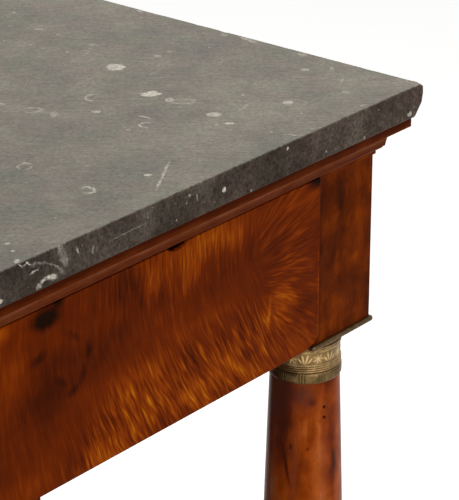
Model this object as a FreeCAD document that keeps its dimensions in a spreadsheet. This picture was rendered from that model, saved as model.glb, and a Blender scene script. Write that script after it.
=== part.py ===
"""Mahogany pier table with a stone top, two turned front columns and one long frieze drawer.

Millimetres. X runs along the front, Y goes back to the wall, Z is up. The origin is on the floor,
under the middle of the stone top. Names ending in Face, Inner, Foot or Top in "places" are planes.
"""

import FreeCAD, Part
import math
import os
import re

import Sketcher
from FreeCAD import Vector

# Every size that can be chosen by itself.
drivingSizes = {
    # the whole table and its stone slab
    "topWidth": 1160,
    "topDepth": 460,
    "topThick": 27,
    "tableHeight": 880,
    "topEase": 1.5,  # worn upper arris
    "topUnderRound": 2.5,  # rounded lower arris
    # frieze box
    "friezeInset": 26.9,  # stone edge to the faces of the corner blocks
    "backInset": 8,  # stone edge to the back of the table
    "friezeHeight": 174.8,
    "blockSide": 74.6,
    "rearBlockDepth": 58,
    "panelThick": 22,
    "tenonLength": 18,
    "tenonThick": 10,
    "tenonShoulder": 14,  # wood left above and below a tenon in a tall rail
    "tenonSlack": 0.2,
    "crossRailWide": 46,
    "crossRailThick": 22,
    "crossRailSpacing": 320,
    # cornice under the stone
    "corniceProud": 21.4,
    "corniceFilletHeight": 9.4,
    "mouldHeight": 17.3,
    "mouldProud": 10.8,
    "mouldKneeProud": 6.8,
    "mouldKneeRise": 1.8,
    "mouldToe": 5.2,
    "mouldSwell": 0.5,
    "mouldTurn": 2.4,
    "neckProud": 1.7,  # small fillet below the cornice
    "neckHeight": 4.9,
    # drawer rails
    "topRailHeight": 41,
    "topRailDepth": 44,
    "bottomRailThick": 20,
    "bottomRailDepth": 50,
    "runnerLip": 5,
    "runnerThick": 20,
    "guideWide": 18,
    "guideHeight": 16,
    "kickerThick": 18,
    # drawer
    "frontThick": 22,
    "frontProud": 5.4,
    "frontGap": 0.8,
    "frontLift": 3.2,
    "gripLift": 9,  # room for fingers behind the lower edge of the drawer front
    "sideGap": 0.8,
    "stopGap": 0.3,
    "slideGap": 0.3,
    "kickGap": 2,
    "drawerSideThick": 12,
    "drawerLength": 340,
    "drawerBackThick": 12,
    "drawerBackInset": 16,
    "drawerBackDrop": 6,
    "housingDepth": 4,
    "drawerBottomThick": 8,
    "grooveRise": 10,
    "grooveDepth": 6,
    "grooveSlack": 0.2,
    "tailCount": 4,
    "tailLength": 16,
    "tailWide": 20,
    "tailFlare": 2.5,
    "tailSlack": 0.1,
    "nailCount": 7,
    "nailRadius": 1.4,
    "nailLength": 22,
    # columns and their brass mounts
    "neckRadius": 29.2,
    "footRadius": 42,
    "entasis": 1.38,  # 1 is a straight taper, more keeps the lower shaft fuller
    "columnTenonRadius": 13,
    "columnTenonTop": 26,
    "columnTenonFoot": 20,
    "fitGap": 0.15,
    "abacusThick": 4.2,
    "abacusProud": 3.1,
    "abacusCorner": 3,
    "collarWall": 4.4,
    "collarRadius": 29.5,
    "millHeight": 8.9,
    "millProud": 1.1,
    "millEdge": 1.4,
    "millGroups": 11,
    "millPitch": 2.3,
    "millRadius": 0.75,
    "grooveHeight": 0.8,
    "reedCount": 3,
    "reedHeight": 1.9,
    "reedSwell": 0.7,
    "bandHeight": 13.4,
    "bandHollow": 0.5,
    "neckReedHeight": 1.6,
    "neckReedCount": 2,
    "neckReedSwell": 0.6,
    "neckHeightPlain": 9.9,
    "neckSetBack": 0.8,
    "baseWall": 6,
    "torusHeight": 12,
    "torusProud": 3.6,
    "torusSwell": 2.4,
    "scotiaHeight": 9,
    "scotiaHollow": 1.6,
    "upperTorusHeight": 8,
    "upperTorusSwell": 1.8,
    "baseFilletHeight": 1.6,
    # rear pilasters and the panel between them
    "pilasterWide": 60,
    "pilasterDepth": 46,
    "pilasterTenonWide": 30,
    "pilasterTenonDepth": 20,
    "pilasterMountWall": 1.4,
    "backPanelThick": 8,
    "backPanelInset": 8,
    "panelTongue": 6,
    # plinth
    "plinthHeight": 92,
    "plinthBoardThick": 24,
    "plinthInset": 10,
    "plinthShoulder": 118,
    "plinthRecess": 60,
    "plinthRound": 8,
    "apronSet": 6,
    "apronThick": 24,
    "glueBlockSide": 38,
    "glueBlockDrop": 4,
}

# Planes, centres and heights that follow from the sizes above.
places = {
    "halfWide": "topWidth / 2",
    "halfDeep": "topDepth / 2",
    "topUnder": "tableHeight - topThick",
    "sideFace": "halfWide - friezeInset",
    "frontFace": "friezeInset - halfDeep",
    "backFace": "halfDeep - backInset",
    "friezeFoot": "topUnder - friezeHeight",
    "blockInner": "sideFace - blockSide",
    "blockBack": "frontFace + blockSide",
    "rearBlockFront": "backFace - rearBlockDepth",
    "sideInner": "sideFace - panelThick",
    "backRailFront": "backFace - panelThick",
    "filletFoot": "topUnder - corniceFilletHeight",
    "corniceFoot": "filletFoot - mouldHeight",
    "corniceEdge": "sideFace + corniceProud",
    "railFace": "frontFace - frontProud + frontThick + stopGap",
    "bottomRailFoot": "friezeFoot + frontLift + gripLift",
    "openingFoot": "bottomRailFoot + bottomRailThick",
    "openingTop": "topUnder - topRailHeight",
    "drawerEnd": "blockInner - sideGap",
    "drawerFace": "frontFace - frontProud",
    "frontBack": "drawerFace + frontThick",
    "frontTop": "corniceFoot - frontGap",
    "frontFoot": "friezeFoot + frontLift",
    "boxFoot": "openingFoot + slideGap",
    "boxTop": "openingTop - kickGap",
    "boxHeight": "boxTop - boxFoot",
    "tailPitch": "boxHeight / tailCount",
    "drawerSideInner": "drawerEnd - drawerSideThick",
    "drawerTail": "frontBack + drawerLength",
    "drawerBackFace": "drawerTail - drawerBackInset - drawerBackThick",
    "bottomFoot": "boxFoot + grooveRise",
    "bottomTop": "bottomFoot + drawerBottomThick",
    "columnX": "sideFace - blockSide / 2",
    "columnY": "frontFace + blockSide / 2",
    "abacusFoot": "friezeFoot - abacusThick",
    "reedFoot": "millHeight + grooveHeight",
    "bandFoot": "reedFoot + reedCount * reedHeight",
    "bandTop": "bandFoot + bandHeight",
    "neckFoot": "bandTop + neckReedCount * neckReedHeight",
    "collarHeight": "neckFoot + neckHeightPlain",
    "collarBore": "collarRadius - collarWall",
    "shaftTop": "abacusFoot - collarHeight",
    "baseHeight": "torusHeight + scotiaHeight + upperTorusHeight + 3 * baseFilletHeight",
    "shaftFoot": "plinthHeight + baseHeight",
    "baseBore": "footRadius - baseWall",
    "pilasterFront": "backFace - pilasterDepth",
    "pilasterOuter": "columnX + pilasterWide / 2",
    "pilasterInner": "columnX - pilasterWide / 2",
    "backPanelFace": "backFace - backPanelInset - backPanelThick",
    "boardFoot": "plinthHeight - plinthBoardThick",
    "boardEdge": "halfWide - plinthInset",
    "boardFront": "plinthInset - halfDeep",
    "recessHalf": "boardEdge - plinthShoulder",
    "recessRadius": "(recessHalf ^ 2 + plinthRecess ^ 2) / (2 * plinthRecess)",
    "recessCentre": "boardFront + plinthRecess - recessRadius",
    "apronFront": "boardFront + apronSet",
    "apronBack": "apronFront + apronThick",
    "apronEdge": "boardEdge - apronSet",
    "apronInner": "apronEdge - apronThick",
    "apronRear": "backFace - apronThick",
}

doc = FreeCAD.newDocument("PierTable")
sizes = doc.addObject("Spreadsheet::Sheet", "Sizes")
for row, (alias, value) in enumerate(drivingSizes.items(), start=1):
    sizes.set(f"A{row}", alias)
    sizes.set(f"B{row}", str(value))
    sizes.setAlias(f"B{row}", alias)
doc.recompute()

subParts = []
planeNormals = {"XY_Plane": 1, "XZ_Plane": -1, "YZ_Plane": 1}


def formula(text):
    """Spells a formula of sizes and places as an expression on the spreadsheet's cells."""

    def spell(match):
        name = match.group()
        if name in places:
            return f"({formula(places[name])})"
        return f"Sizes.{name}" if name in drivingSizes else name

    return re.sub(r"[A-Za-z]\w*", spell, str(text))


def number(text):
    """The present value of a formula, for a sketch's first guess."""
    return float(sizes.evalExpression(formula(text)))


def newBody(label):
    body = doc.addObject("PartDesign::Body", label)
    body.Label = label
    subParts.append(body)
    return body


def mirrored(source, label):
    """The left-hand twin of a right-hand sub-part."""
    twin = doc.addObject("Part::Mirroring", label)
    twin.Label = label
    twin.Source = source
    twin.Normal = Vector(1, 0, 0)
    subParts.append(twin)
    return twin


def originOf(body, role):
    return next(feature for feature in body.Origin.OriginFeatures if feature.Role == role)


def sketchOn(body, plane, level, name):
    """An empty sketch on one of the body's origin planes, moved along that plane's axis to level."""
    sketch = body.newObject("Sketcher::SketchObject", name)
    sketch.AttachmentSupport = [(originOf(body, plane), "")]
    sketch.MapMode = "FlatFace"
    sketch.setExpression("AttachmentOffset.Base.z", formula(f"{planeNormals[plane]} * ({level})"))
    return sketch


def dimension(sketch, kind, axis, geometry, point, text):
    """Ties one coordinate of a point to a formula."""
    if str(text) == "0":
        sketch.addConstraint(Sketcher.Constraint("PointOnObject", geometry, point, axis))
        return
    index = sketch.addConstraint(Sketcher.Constraint(kind, -1, 1, geometry, point, number(text)))
    sketch.setExpression(f"Constraints[{index}]", formula(text))


def place(sketch, geometry, point, x, y):
    dimension(sketch, "DistanceX", -2, geometry, point, x)
    dimension(sketch, "DistanceY", -1, geometry, point, y)


def fixRadius(sketch, geometry, radius):
    index = sketch.addConstraint(Sketcher.Constraint("Radius", geometry, number(radius)))
    sketch.setExpression(f"Constraints[{index}]", formula(radius))


def arcBetween(start, end, radius, side):
    """Minor arc from start to end that bulges to the given side of the way there."""
    chord = end.sub(start)
    left = Vector(-chord.y, chord.x, 0).normalize()
    reach = math.sqrt(radius**2 - (chord.Length / 2) ** 2)
    toCentre = left.multiply(-reach if side == "left" else reach)
    centre = start.add(end).multiply(0.5).add(toCentre)
    first, last = (end, start) if side == "left" else (start, end)
    angles = [math.atan2(p.y - centre.y, p.x - centre.x) for p in (first, last)]
    return Part.ArcOfCircle(Part.Circle(centre, Vector(0, 0, 1), radius), *angles)


def outline(sketch, corners):
    """Draws a closed outline. A corner is (x, y), or (x, y, radius, side) where an arc arrives."""
    spots = [Vector(number(corner[0]), number(corner[1]), 0) for corner in corners]
    first = sketch.GeometryCount
    ends = []
    for index, corner in enumerate(corners):
        start, end = spots[index - 1], spots[index]
        if len(corner) == 2:
            sketch.addGeometry(Part.LineSegment(start, end))
            ends.append((1, 2))
        else:
            sketch.addGeometry(arcBetween(start, end, number(corner[2]), corner[3]))
            ends.append((2, 1) if corner[3] == "left" else (1, 2))
    for index, corner in enumerate(corners):
        following = (index + 1) % len(corners)
        join = (first + index, ends[index][1], first + following, ends[following][0])
        sketch.addConstraint(Sketcher.Constraint("Coincident", *join))
        place(sketch, first + index, ends[index][1], corner[0], corner[1])
        if len(corner) > 2:
            fixRadius(sketch, first + index, corner[2])


def circle(sketch, x, y, radius):
    spot = Vector(number(x), number(y), 0)
    index = sketch.addGeometry(Part.Circle(spot, Vector(0, 0, 1), number(radius)))
    place(sketch, index, 3, x, y)
    fixRadius(sketch, index, radius)


def draw(sketch, shapes):
    """Draws outlines, and circles given as (x, y, radius)."""
    for shape in shapes:
        if isinstance(shape, tuple):
            circle(sketch, *shape)
        else:
            outline(sketch, shape)


def rectangle(low, high, foot, top):
    return [(low, foot), (high, foot), (high, top), (low, top)]


def prism(body, kind, plane, low, high, *shapes):
    """Pads or pockets shapes from level low up to level high of the plane's axis."""
    sketch = sketchOn(body, plane, low, "Outline")
    draw(sketch, shapes)
    feature = body.newObject("PartDesign::" + kind, kind)
    feature.Profile = sketch
    feature.Reversed = (planeNormals[plane] < 0) == (kind == "Pad")
    feature.setExpression("Length", formula(f"({high}) - ({low})"))
    return feature


def turning(body, corners):
    """Turns an outline of radii and heights about the body's Z axis."""
    sketch = sketchOn(body, "XZ_Plane", "0", "Outline")
    outline(sketch, corners)
    feature = body.newObject("PartDesign::Revolution", "Turning")
    feature.Profile = sketch
    feature.ReferenceAxis = (sketch, ["V_Axis"])
    return feature


def moveTo(body, x, y):
    body.setExpression("Placement.Base.x", formula(x))
    body.setExpression("Placement.Base.y", formula(y))


def linearPattern(body, originals, axis, length, count):
    pattern = body.newObject("PartDesign::LinearPattern", "Row")
    pattern.Originals = originals
    pattern.Direction = (originOf(body, axis), [""])
    pattern.setExpression("Length", formula(length))
    pattern.setExpression("Occurrences", formula(count))
    body.Tip = pattern


def levelEdges(feature, plane, leftSharp=()):
    """Names of the edges that lie in a level plane, apart from the names left sharp."""
    doc.recompute()
    edges = enumerate(feature.Shape.Edges, start=1)
    level = [f"Edge{i}" for i, edge in edges if all(near(v.Z, plane) for v in edge.Vertexes)]
    return [name for name in level if name not in leftSharp]


def edgesOnBack(feature, plane):
    """Names of the edges that lie in an upright plane across the table."""
    doc.recompute()
    edges = enumerate(feature.Shape.Edges, start=1)
    return [f"Edge{i}" for i, edge in edges if all(near(v.Y, plane) for v in edge.Vertexes)]


def uprightEdges(feature):
    doc.recompute()
    edges = enumerate(feature.Shape.Edges, start=1)
    return [f"Edge{i}" for i, edge in edges if edge.Vertexes[0].Z != edge.Vertexes[-1].Z]


def roundEdges(body, feature, radius, names):
    rounded = body.newObject("PartDesign::Fillet", "Round")
    rounded.Base = (feature, names)
    rounded.setExpression("Radius", formula(radius))
    return rounded


def near(value, text):
    """Whether a coordinate lies on a named plane."""
    return abs(value - number(text)) < 0.01


def board(label, x, y, z):
    """A plain rectangular board, each of x, y and z being its (low, high) planes."""
    piece = doc.addObject("Part::Box", label)
    piece.Label = label
    for prop, axis, (low, high) in zip(("Length", "Width", "Height"), "xyz", (x, y, z)):
        piece.setExpression(prop, formula(f"({high}) - ({low})"))
        piece.setExpression(f"Placement.Base.{axis}", formula(low))
    subParts.append(piece)
    return piece


def bulge(height, swell):
    """Radius of an arc as tall as height between its ends that rises by swell."""
    return f"(({height}) ^ 2 / (8 * ({swell})) + ({swell}) / 2)"


# ---- stone top ----
def marbleTop():
    body = newBody("marble_top")
    outer = rectangle("-halfWide", "halfWide", "-halfDeep", "halfDeep")
    slab = prism(body, "Pad", "XY_Plane", "topUnder", "tableHeight", outer)
    eased = roundEdges(body, slab, "topEase", levelEdges(slab, "tableHeight"))
    lower = levelEdges(eased, "topUnder", edgesOnBack(eased, "halfDeep"))
    roundEdges(body, eased, "topUnderRound", lower)


# ---- cornice ----
def corniceProfile(face, outward):
    """Section of the cornice: flat fillet above a swelling bed mould, out from a face."""
    steps = [
        ("0", "corniceFoot"),
        ("0", "topUnder"),
        ("corniceProud", "topUnder"),
        ("corniceProud", "filletFoot"),
        ("mouldProud", "filletFoot"),
        ("mouldKneeProud", "corniceFoot + mouldKneeRise"),
        ("mouldToe", "corniceFoot"),
    ]
    corners = [(f"({face}) + ({outward}) * ({out})", level) for out, level in steps]
    side = "left" if outward == "-1" else "right"
    slant = "sqrt((mouldProud - mouldKneeProud) ^ 2 + (mouldHeight - mouldKneeRise) ^ 2)"
    corners[5] += (bulge(slant, "mouldSwell"), side)
    corners[6] += ("mouldTurn", side)
    return corners


def cornice():
    over = "mouldTurn"
    front = newBody("cornice_front")
    profile = corniceProfile("frontFace", "-1")
    prism(front, "Pad", "YZ_Plane", "-corniceEdge", "corniceEdge", profile)
    for hand in ("-1", "1"):
        mitre = [
            (f"{hand} * (sideFace - {over})", f"frontFace + {over}"),
            (f"{hand} * (corniceEdge + {over})", f"frontFace - corniceProud - {over}"),
            (f"{hand} * (corniceEdge + {over})", f"frontFace + {over}"),
        ]
        prism(front, "Pocket", "XY_Plane", f"corniceFoot - {over}", f"topUnder + {over}", mitre)
    right = newBody("cornice_right")
    profile = corniceProfile("sideFace", "1")
    prism(right, "Pad", "XZ_Plane", "frontFace - corniceProud", "backFace", profile)
    mitre = [
        (f"sideFace - {over}", f"frontFace + {over}"),
        (f"corniceEdge + {over}", f"frontFace - corniceProud - {over}"),
        (f"sideFace - {over}", f"frontFace - corniceProud - {over}"),
    ]
    prism(right, "Pocket", "XY_Plane", f"corniceFoot - {over}", f"topUnder + {over}", mitre)
    mirrored(right, "cornice_left")


# ---- frieze box ----
def railTenon(axis):
    """Low and high planes of the tenon of a tall rail across its thickness."""
    middle = f"({axis})"
    return f"{middle} - tenonThick / 2", f"{middle} + tenonThick / 2"


def slack(pair):
    """A mortise is wider than its tenon by the slack all round."""
    return f"({pair[0]}) - tenonSlack", f"({pair[1]}) + tenonSlack"


tallTenon = ("friezeFoot + tenonShoulder", "corniceFoot - tenonShoulder")
sideTenon = railTenon("sideFace - panelThick / 2")
backTenon = railTenon("backFace - panelThick / 2")
topTenonDeep = ("railFace + tenonShoulder", "railFace + topRailDepth - tenonShoulder")
topTenonTall = ("openingTop + tenonThick", "topUnder - tenonThick")
lowTenonDeep = ("railFace + tenonShoulder", "railFace + bottomRailDepth - tenonShoulder")
lowTenonTall = ("bottomRailFoot + bottomRailThick / 4", "openingFoot - bottomRailThick / 4")


def cornerBlocks():
    front = newBody("corner_block_front_right")
    square = rectangle("blockInner", "sideFace", "frontFace", "blockBack")
    prism(front, "Pad", "XY_Plane", "friezeFoot", "topUnder", square)
    neck = rectangle("blockInner", "sideFace + neckProud", "frontFace - neckProud", "blockBack")
    prism(front, "Pad", "XY_Plane", "corniceFoot - neckHeight", "corniceFoot", neck)
    hole = ("columnX", "columnY", "columnTenonRadius + fitGap")
    holeTop = "friezeFoot + columnTenonTop + tenonSlack"
    prism(front, "Pocket", "XY_Plane", "friezeFoot", holeTop, hole)
    mortises = [
        rectangle(*slack(topTenonDeep), *slack(topTenonTall)),
        rectangle(*slack(lowTenonDeep), *slack(lowTenonTall)),
    ]
    mortiseEnd = "blockInner + tenonLength + tenonSlack"
    prism(front, "Pocket", "YZ_Plane", "blockInner", mortiseEnd, *mortises)
    mortiseEnd = "blockBack - tenonLength - tenonSlack"
    mortise = rectangle(*slack(sideTenon), *slack(tallTenon))
    prism(front, "Pocket", "XZ_Plane", mortiseEnd, "blockBack", mortise)
    mirrored(front, "corner_block_front_left")

    rear = newBody("corner_block_rear_right")
    square = rectangle("blockInner", "sideFace", "rearBlockFront", "backFace")
    prism(rear, "Pad", "XY_Plane", "friezeFoot", "topUnder", square)
    neck = rectangle("blockInner", "sideFace + neckProud", "rearBlockFront", "backFace")
    prism(rear, "Pad", "XY_Plane", "corniceFoot - neckHeight", "corniceFoot", neck)
    hole = pilasterTenon("tenonSlack")
    holeTop = "friezeFoot + columnTenonTop + tenonSlack"
    prism(rear, "Pocket", "XY_Plane", "friezeFoot", holeTop, hole)
    mortise = rectangle(*slack(backTenon), *slack(tallTenon))
    mortiseEnd = "blockInner + tenonLength + tenonSlack"
    prism(rear, "Pocket", "YZ_Plane", "blockInner", mortiseEnd, mortise)
    mortise = rectangle(*slack(sideTenon), *slack(tallTenon))
    mortiseEnd = "rearBlockFront + tenonLength + tenonSlack"
    prism(rear, "Pocket", "XZ_Plane", "rearBlockFront", mortiseEnd, mortise)
    mirrored(rear, "corner_block_rear_left")


def friezeSides():
    side = newBody("frieze_side_right")
    wall = rectangle("sideInner", "sideFace", "blockBack", "rearBlockFront")
    prism(side, "Pad", "XY_Plane", "friezeFoot", "topUnder", wall)
    neck = rectangle("sideInner", "sideFace + neckProud", "blockBack", "rearBlockFront")
    prism(side, "Pad", "XY_Plane", "corniceFoot - neckHeight", "corniceFoot", neck)
    tenon = rectangle(*sideTenon, *tallTenon)
    low, high = "blockBack - tenonLength", "rearBlockFront + tenonLength"
    prism(side, "Pad", "XZ_Plane", low, high, tenon)
    mirrored(side, "frieze_side_left")


def friezeRails():
    back = newBody("frieze_back_rail")
    wall = rectangle("backRailFront", "backFace", "friezeFoot", "topUnder")
    prism(back, "Pad", "YZ_Plane", "-blockInner", "blockInner", wall)
    tenon = rectangle(*backTenon, *tallTenon)
    low, high = "-blockInner - tenonLength", "blockInner + tenonLength"
    prism(back, "Pad", "YZ_Plane", low, high, tenon)
    groove = panelGroove("friezeFoot", "friezeFoot + panelTongue + grooveSlack")
    prism(back, "Pocket", "YZ_Plane", low, high, groove)

    top = newBody("top_front_rail")
    section = [
        ("frontFace", "topUnder"),
        ("frontFace", "corniceFoot"),
        ("railFace", "corniceFoot"),
        ("railFace", "openingTop"),
        ("railFace + topRailDepth", "openingTop"),
        ("railFace + topRailDepth", "topUnder"),
    ]
    prism(top, "Pad", "YZ_Plane", "-blockInner", "blockInner", section)
    prism(top, "Pad", "YZ_Plane", low, high, rectangle(*topTenonDeep, *topTenonTall))

    bottom = newBody("bottom_front_rail")
    deep = ("railFace", "railFace + bottomRailDepth")
    section = rectangle(*deep, "bottomRailFoot", "openingFoot")
    prism(bottom, "Pad", "YZ_Plane", "-blockInner", "blockInner", section)
    prism(bottom, "Pad", "YZ_Plane", low, high, rectangle(*lowTenonDeep, *lowTenonTall))


def panelGroove(foot, top):
    """Groove, seen from the side, that holds an edge of the back panel."""
    low = "backPanelFace - grooveSlack"
    high = "backPanelFace + backPanelThick + grooveSlack"
    return rectangle(low, high, foot, top)


def drawerTrack():
    """Runner below, guide beside and kicker above each drawer side."""
    deep = ("blockBack", "rearBlockFront")
    inner = "drawerSideInner - runnerLip"
    low = "openingFoot - runnerThick"
    runner = board("drawer_runner_right", (inner, "sideInner"), deep, (low, "openingFoot"))
    guideX = ("blockInner", "blockInner + guideWide")
    guideZ = ("openingFoot", "openingFoot + guideHeight")
    guide = board("drawer_guide_right", guideX, deep, guideZ)
    kickerZ = ("openingTop", "openingTop + kickerThick")
    kicker = board("drawer_kicker_right", (inner, "sideInner"), deep, kickerZ)
    crossX = (
        "crossRailSpacing / 2 - crossRailWide / 2",
        "crossRailSpacing / 2 + crossRailWide / 2",
    )
    crossZ = ("topUnder - crossRailThick", "topUnder")
    crossY = ("railFace + topRailDepth", "backRailFront")
    cross = board("top_cross_rail_right", crossX, crossY, crossZ)
    for piece in (runner, guide, kicker, cross):
        mirrored(piece, piece.Label.replace("right", "left"))


# ---- drawer ----
def dovetail(gap):
    """The lowest tail, seen from the side: narrow at the joint's shoulder, wide at its end."""
    middle = "(boxFoot + tailPitch / 2)"
    root = "(tailWide / 2 - tailFlare)"
    tip = "(frontBack - tailLength)"
    return [
        (f"frontBack + {gap}", f"{middle} - {root} - {gap}"),
        (f"frontBack + {gap}", f"{middle} + {root} + {gap}"),
        (f"{tip} - {gap}", f"{middle} + tailWide / 2 + {gap}"),
        (f"{tip} - {gap}", f"{middle} - tailWide / 2 - {gap}"),
    ]


def drawer():
    run = "tailPitch * (tailCount - 1)"
    front = newBody("drawer_front")
    face = rectangle("-drawerEnd", "drawerEnd", "frontFoot", "frontTop")
    prism(front, "Pad", "XZ_Plane", "drawerFace", "frontBack", face)
    inner = "drawerSideInner - tailSlack"
    sockets = [
        prism(front, "Pocket", "YZ_Plane", inner, "drawerEnd", dovetail("tailSlack")),
        prism(front, "Pocket", "YZ_Plane", "-drawerEnd", f"-({inner})", dovetail("tailSlack")),
    ]
    linearPattern(front, sockets, "Z_Axis", run, "tailCount")
    slot = rectangle("-drawerSideInner", "drawerSideInner", "bottomFoot", "bottomTop + grooveSlack")
    prism(front, "Pocket", "XZ_Plane", "frontBack - grooveDepth", "frontBack", slot)

    side = newBody("drawer_side_right")
    wall = rectangle("frontBack", "drawerTail", "boxFoot", "boxTop")
    prism(side, "Pad", "YZ_Plane", "drawerSideInner", "drawerEnd", wall)
    tail = prism(side, "Pad", "YZ_Plane", "drawerSideInner", "drawerEnd", dovetail("0"))
    linearPattern(side, [tail], "Z_Axis", run, "tailCount")
    low, high = "drawerSideInner", "drawerSideInner + grooveDepth"
    start = "frontBack - grooveDepth - grooveSlack"
    slot = rectangle(start, "drawerTail", "bottomFoot", "bottomTop + grooveSlack")
    prism(side, "Pocket", "YZ_Plane", low, high, slot)
    ends = ("drawerBackFace - grooveSlack", "drawerBackFace + drawerBackThick + grooveSlack")
    housing = rectangle(*ends, "bottomTop", "boxTop")
    high = "drawerSideInner + housingDepth"
    prism(side, "Pocket", "YZ_Plane", low, high, housing)
    mirrored(side, "drawer_side_left")

    reach = "drawerSideInner + housingDepth - grooveSlack"
    backY = ("drawerBackFace", "drawerBackFace + drawerBackThick")
    backZ = ("bottomTop + grooveSlack", "boxTop - drawerBackDrop")
    board("drawer_back", (f"-({reach})", reach), backY, backZ)
    reach = "drawerSideInner + grooveDepth - grooveSlack"
    bottomY = ("frontBack - grooveDepth + grooveSlack", "drawerTail")
    board("drawer_bottom", (f"-({reach})", reach), bottomY, ("bottomFoot", "bottomTop"))


# ---- columns and their mounts ----
def shaftOutline():
    """Radius and height up the shaft, which tapers slowly at first and faster to its neck."""
    steps = 6
    spots = []
    for step in range(steps + 1):
        share = f"({step} / {steps})"
        radius = f"footRadius - (footRadius - neckRadius) * {share} ^ entasis"
        spots.append((radius, f"shaftFoot + (shaftTop - shaftFoot) * {share}"))
    return spots


def column():
    body = newBody("column_right")
    turning(
        body,
        [
            ("0", "plinthHeight - columnTenonFoot"),
            ("columnTenonRadius", "plinthHeight - columnTenonFoot"),
            ("columnTenonRadius", "plinthHeight"),
            ("baseBore - fitGap", "plinthHeight"),
            ("baseBore - fitGap", "shaftFoot"),
            *shaftOutline(),
            ("collarBore - fitGap", "shaftTop"),
            ("collarBore - fitGap", "abacusFoot"),
            ("columnTenonRadius", "abacusFoot"),
            ("columnTenonRadius", "friezeFoot + columnTenonTop"),
            ("0", "friezeFoot + columnTenonTop"),
        ],
    )
    moveTo(body, "columnX", "columnY")
    mirrored(body, "column_left")


def reeds(corners, radius, foot, height, swell, count):
    """Adds small beads, each with a sharp crest, one above the other to a turned outline."""
    for index in range(count):
        corners.append((f"{radius} + {swell}", f"{foot} + {index + 0.5} * {height}"))
        corners.append((radius, f"{foot} + {index + 1} * {height}"))


def collarProfile(radius, lift):
    """Brass collar from the foot up: milled ring, quirk, reeds, hollow band, reeds and neck."""
    corners = [
        (radius, f"{lift}"),
        (f"{radius} + millProud", f"{lift} + millEdge"),
        (f"{radius} + millProud", f"{lift} + millHeight - millEdge"),
        (radius, f"{lift} + millHeight"),
        (f"{radius} - neckSetBack", f"{lift} + millHeight"),
        (f"{radius} - neckSetBack", f"{lift} + reedFoot"),
        (radius, f"{lift} + reedFoot"),
    ]
    count = int(drivingSizes["reedCount"])
    reeds(corners, radius, f"{lift} + reedFoot", "reedHeight", "reedSwell", count)
    corners.append((radius, f"{lift} + bandTop", bulge("bandHeight", "bandHollow"), "left"))
    count = int(drivingSizes["neckReedCount"])
    reeds(corners, radius, f"{lift} + bandTop", "neckReedHeight", "neckReedSwell", count)
    corners.append((f"{radius} - neckSetBack", f"{lift} + neckFoot"))
    corners.append((f"{radius} - neckSetBack", f"{lift} + collarHeight"))
    return corners


def capital():
    """Collar round the column's neck, milled in groups of three upright flutes."""
    body = newBody("column_capital_right")
    bore = [("collarBore", "shaftTop + collarHeight"), ("collarBore", "shaftTop")]
    turning(body, collarProfile("collarRadius", "shaftTop") + bore)
    reach = "(collarRadius + millProud)"
    flutes = [(f"-{reach}", "0", "millRadius")]
    for turn in ("-1", "1"):
        angle = f"{turn} * millPitch / {reach} * 1 rad"
        flutes.append((f"-{reach} * cos({angle})", f"{reach} * sin({angle})", "millRadius"))
    low, high = "shaftTop + millEdge", "shaftTop + millHeight - millEdge"
    cut = prism(body, "Pocket", "XY_Plane", low, high, *flutes)
    pattern = body.newObject("PartDesign::PolarPattern", "Milling")
    pattern.Originals = [cut]
    pattern.Axis = (originOf(body, "Z_Axis"), [""])
    pattern.setExpression("Occurrences", formula("millGroups"))
    body.Tip = pattern
    moveTo(body, "columnX", "columnY")
    mirrored(body, "column_capital_left")


def baseProfile(radius, lift):
    """Brass base from the foot up: torus, fillet, scotia, fillet, small torus and fillet."""
    wide = f"{radius} + torusProud"
    fillet = f"{lift} + torusHeight + baseFilletHeight"
    scotia = f"{fillet} + scotiaHeight"
    torus = f"{scotia} + baseFilletHeight"
    slant = "sqrt(scotiaHeight ^ 2 + (torusProud / 2) ^ 2)"
    return [
        (wide, f"{lift}"),
        (wide, f"{lift} + torusHeight", bulge("torusHeight", "torusSwell"), "right"),
        (f"{radius} + torusProud / 2", f"{lift} + torusHeight"),
        (f"{radius} + torusProud / 2", fillet),
        (radius, scotia, bulge(slant, "scotiaHollow"), "left"),
        (f"{radius} + scotiaHollow / 2", scotia),
        (f"{radius} + scotiaHollow / 2", torus),
        (f"{radius} + scotiaHollow / 2", f"{torus} + upperTorusHeight",
         bulge("upperTorusHeight", "upperTorusSwell"), "right"),
        (radius, f"{torus} + upperTorusHeight"),
        (radius, f"{lift} + baseHeight"),
    ]


def columnBase():
    body = newBody("column_base_right")
    bore = [("baseBore", "shaftFoot"), ("baseBore", "plinthHeight")]
    turning(body, baseProfile("footRadius", "plinthHeight") + bore)
    moveTo(body, "columnX", "columnY")
    mirrored(body, "column_base_left")


def abacus(label, foot, back, hole):
    """Thin brass plate between a block and the mount below it, proud of both."""
    body = newBody(label)
    low, high = "blockInner - abacusProud", "sideFace + abacusProud"
    corners = rectangle(low, high, foot, back)
    plate = prism(body, "Pad", "XY_Plane", "abacusFoot", "friezeFoot", corners)
    turned = roundEdges(body, plate, "abacusCorner", uprightEdges(plate))
    eased = body.newObject("PartDesign::Chamfer", "Eased")
    eased.Base = (turned, levelEdges(turned, "friezeFoot") + levelEdges(turned, "abacusFoot"))
    eased.setExpression("Size", formula("abacusThick / 4"))
    prism(body, "Pocket", "XY_Plane", "abacusFoot", "friezeFoot", hole)
    mirrored(body, label.replace("right", "left"))


def abacuses():
    hole = ("columnX", "columnY", "columnTenonRadius + fitGap")
    low, high = "frontFace - abacusProud", "blockBack + abacusProud"
    abacus("abacus_front_right", low, high, hole)
    abacus("abacus_rear_right", "rearBlockFront - abacusProud", "backFace", pilasterTenon("fitGap"))


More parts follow.
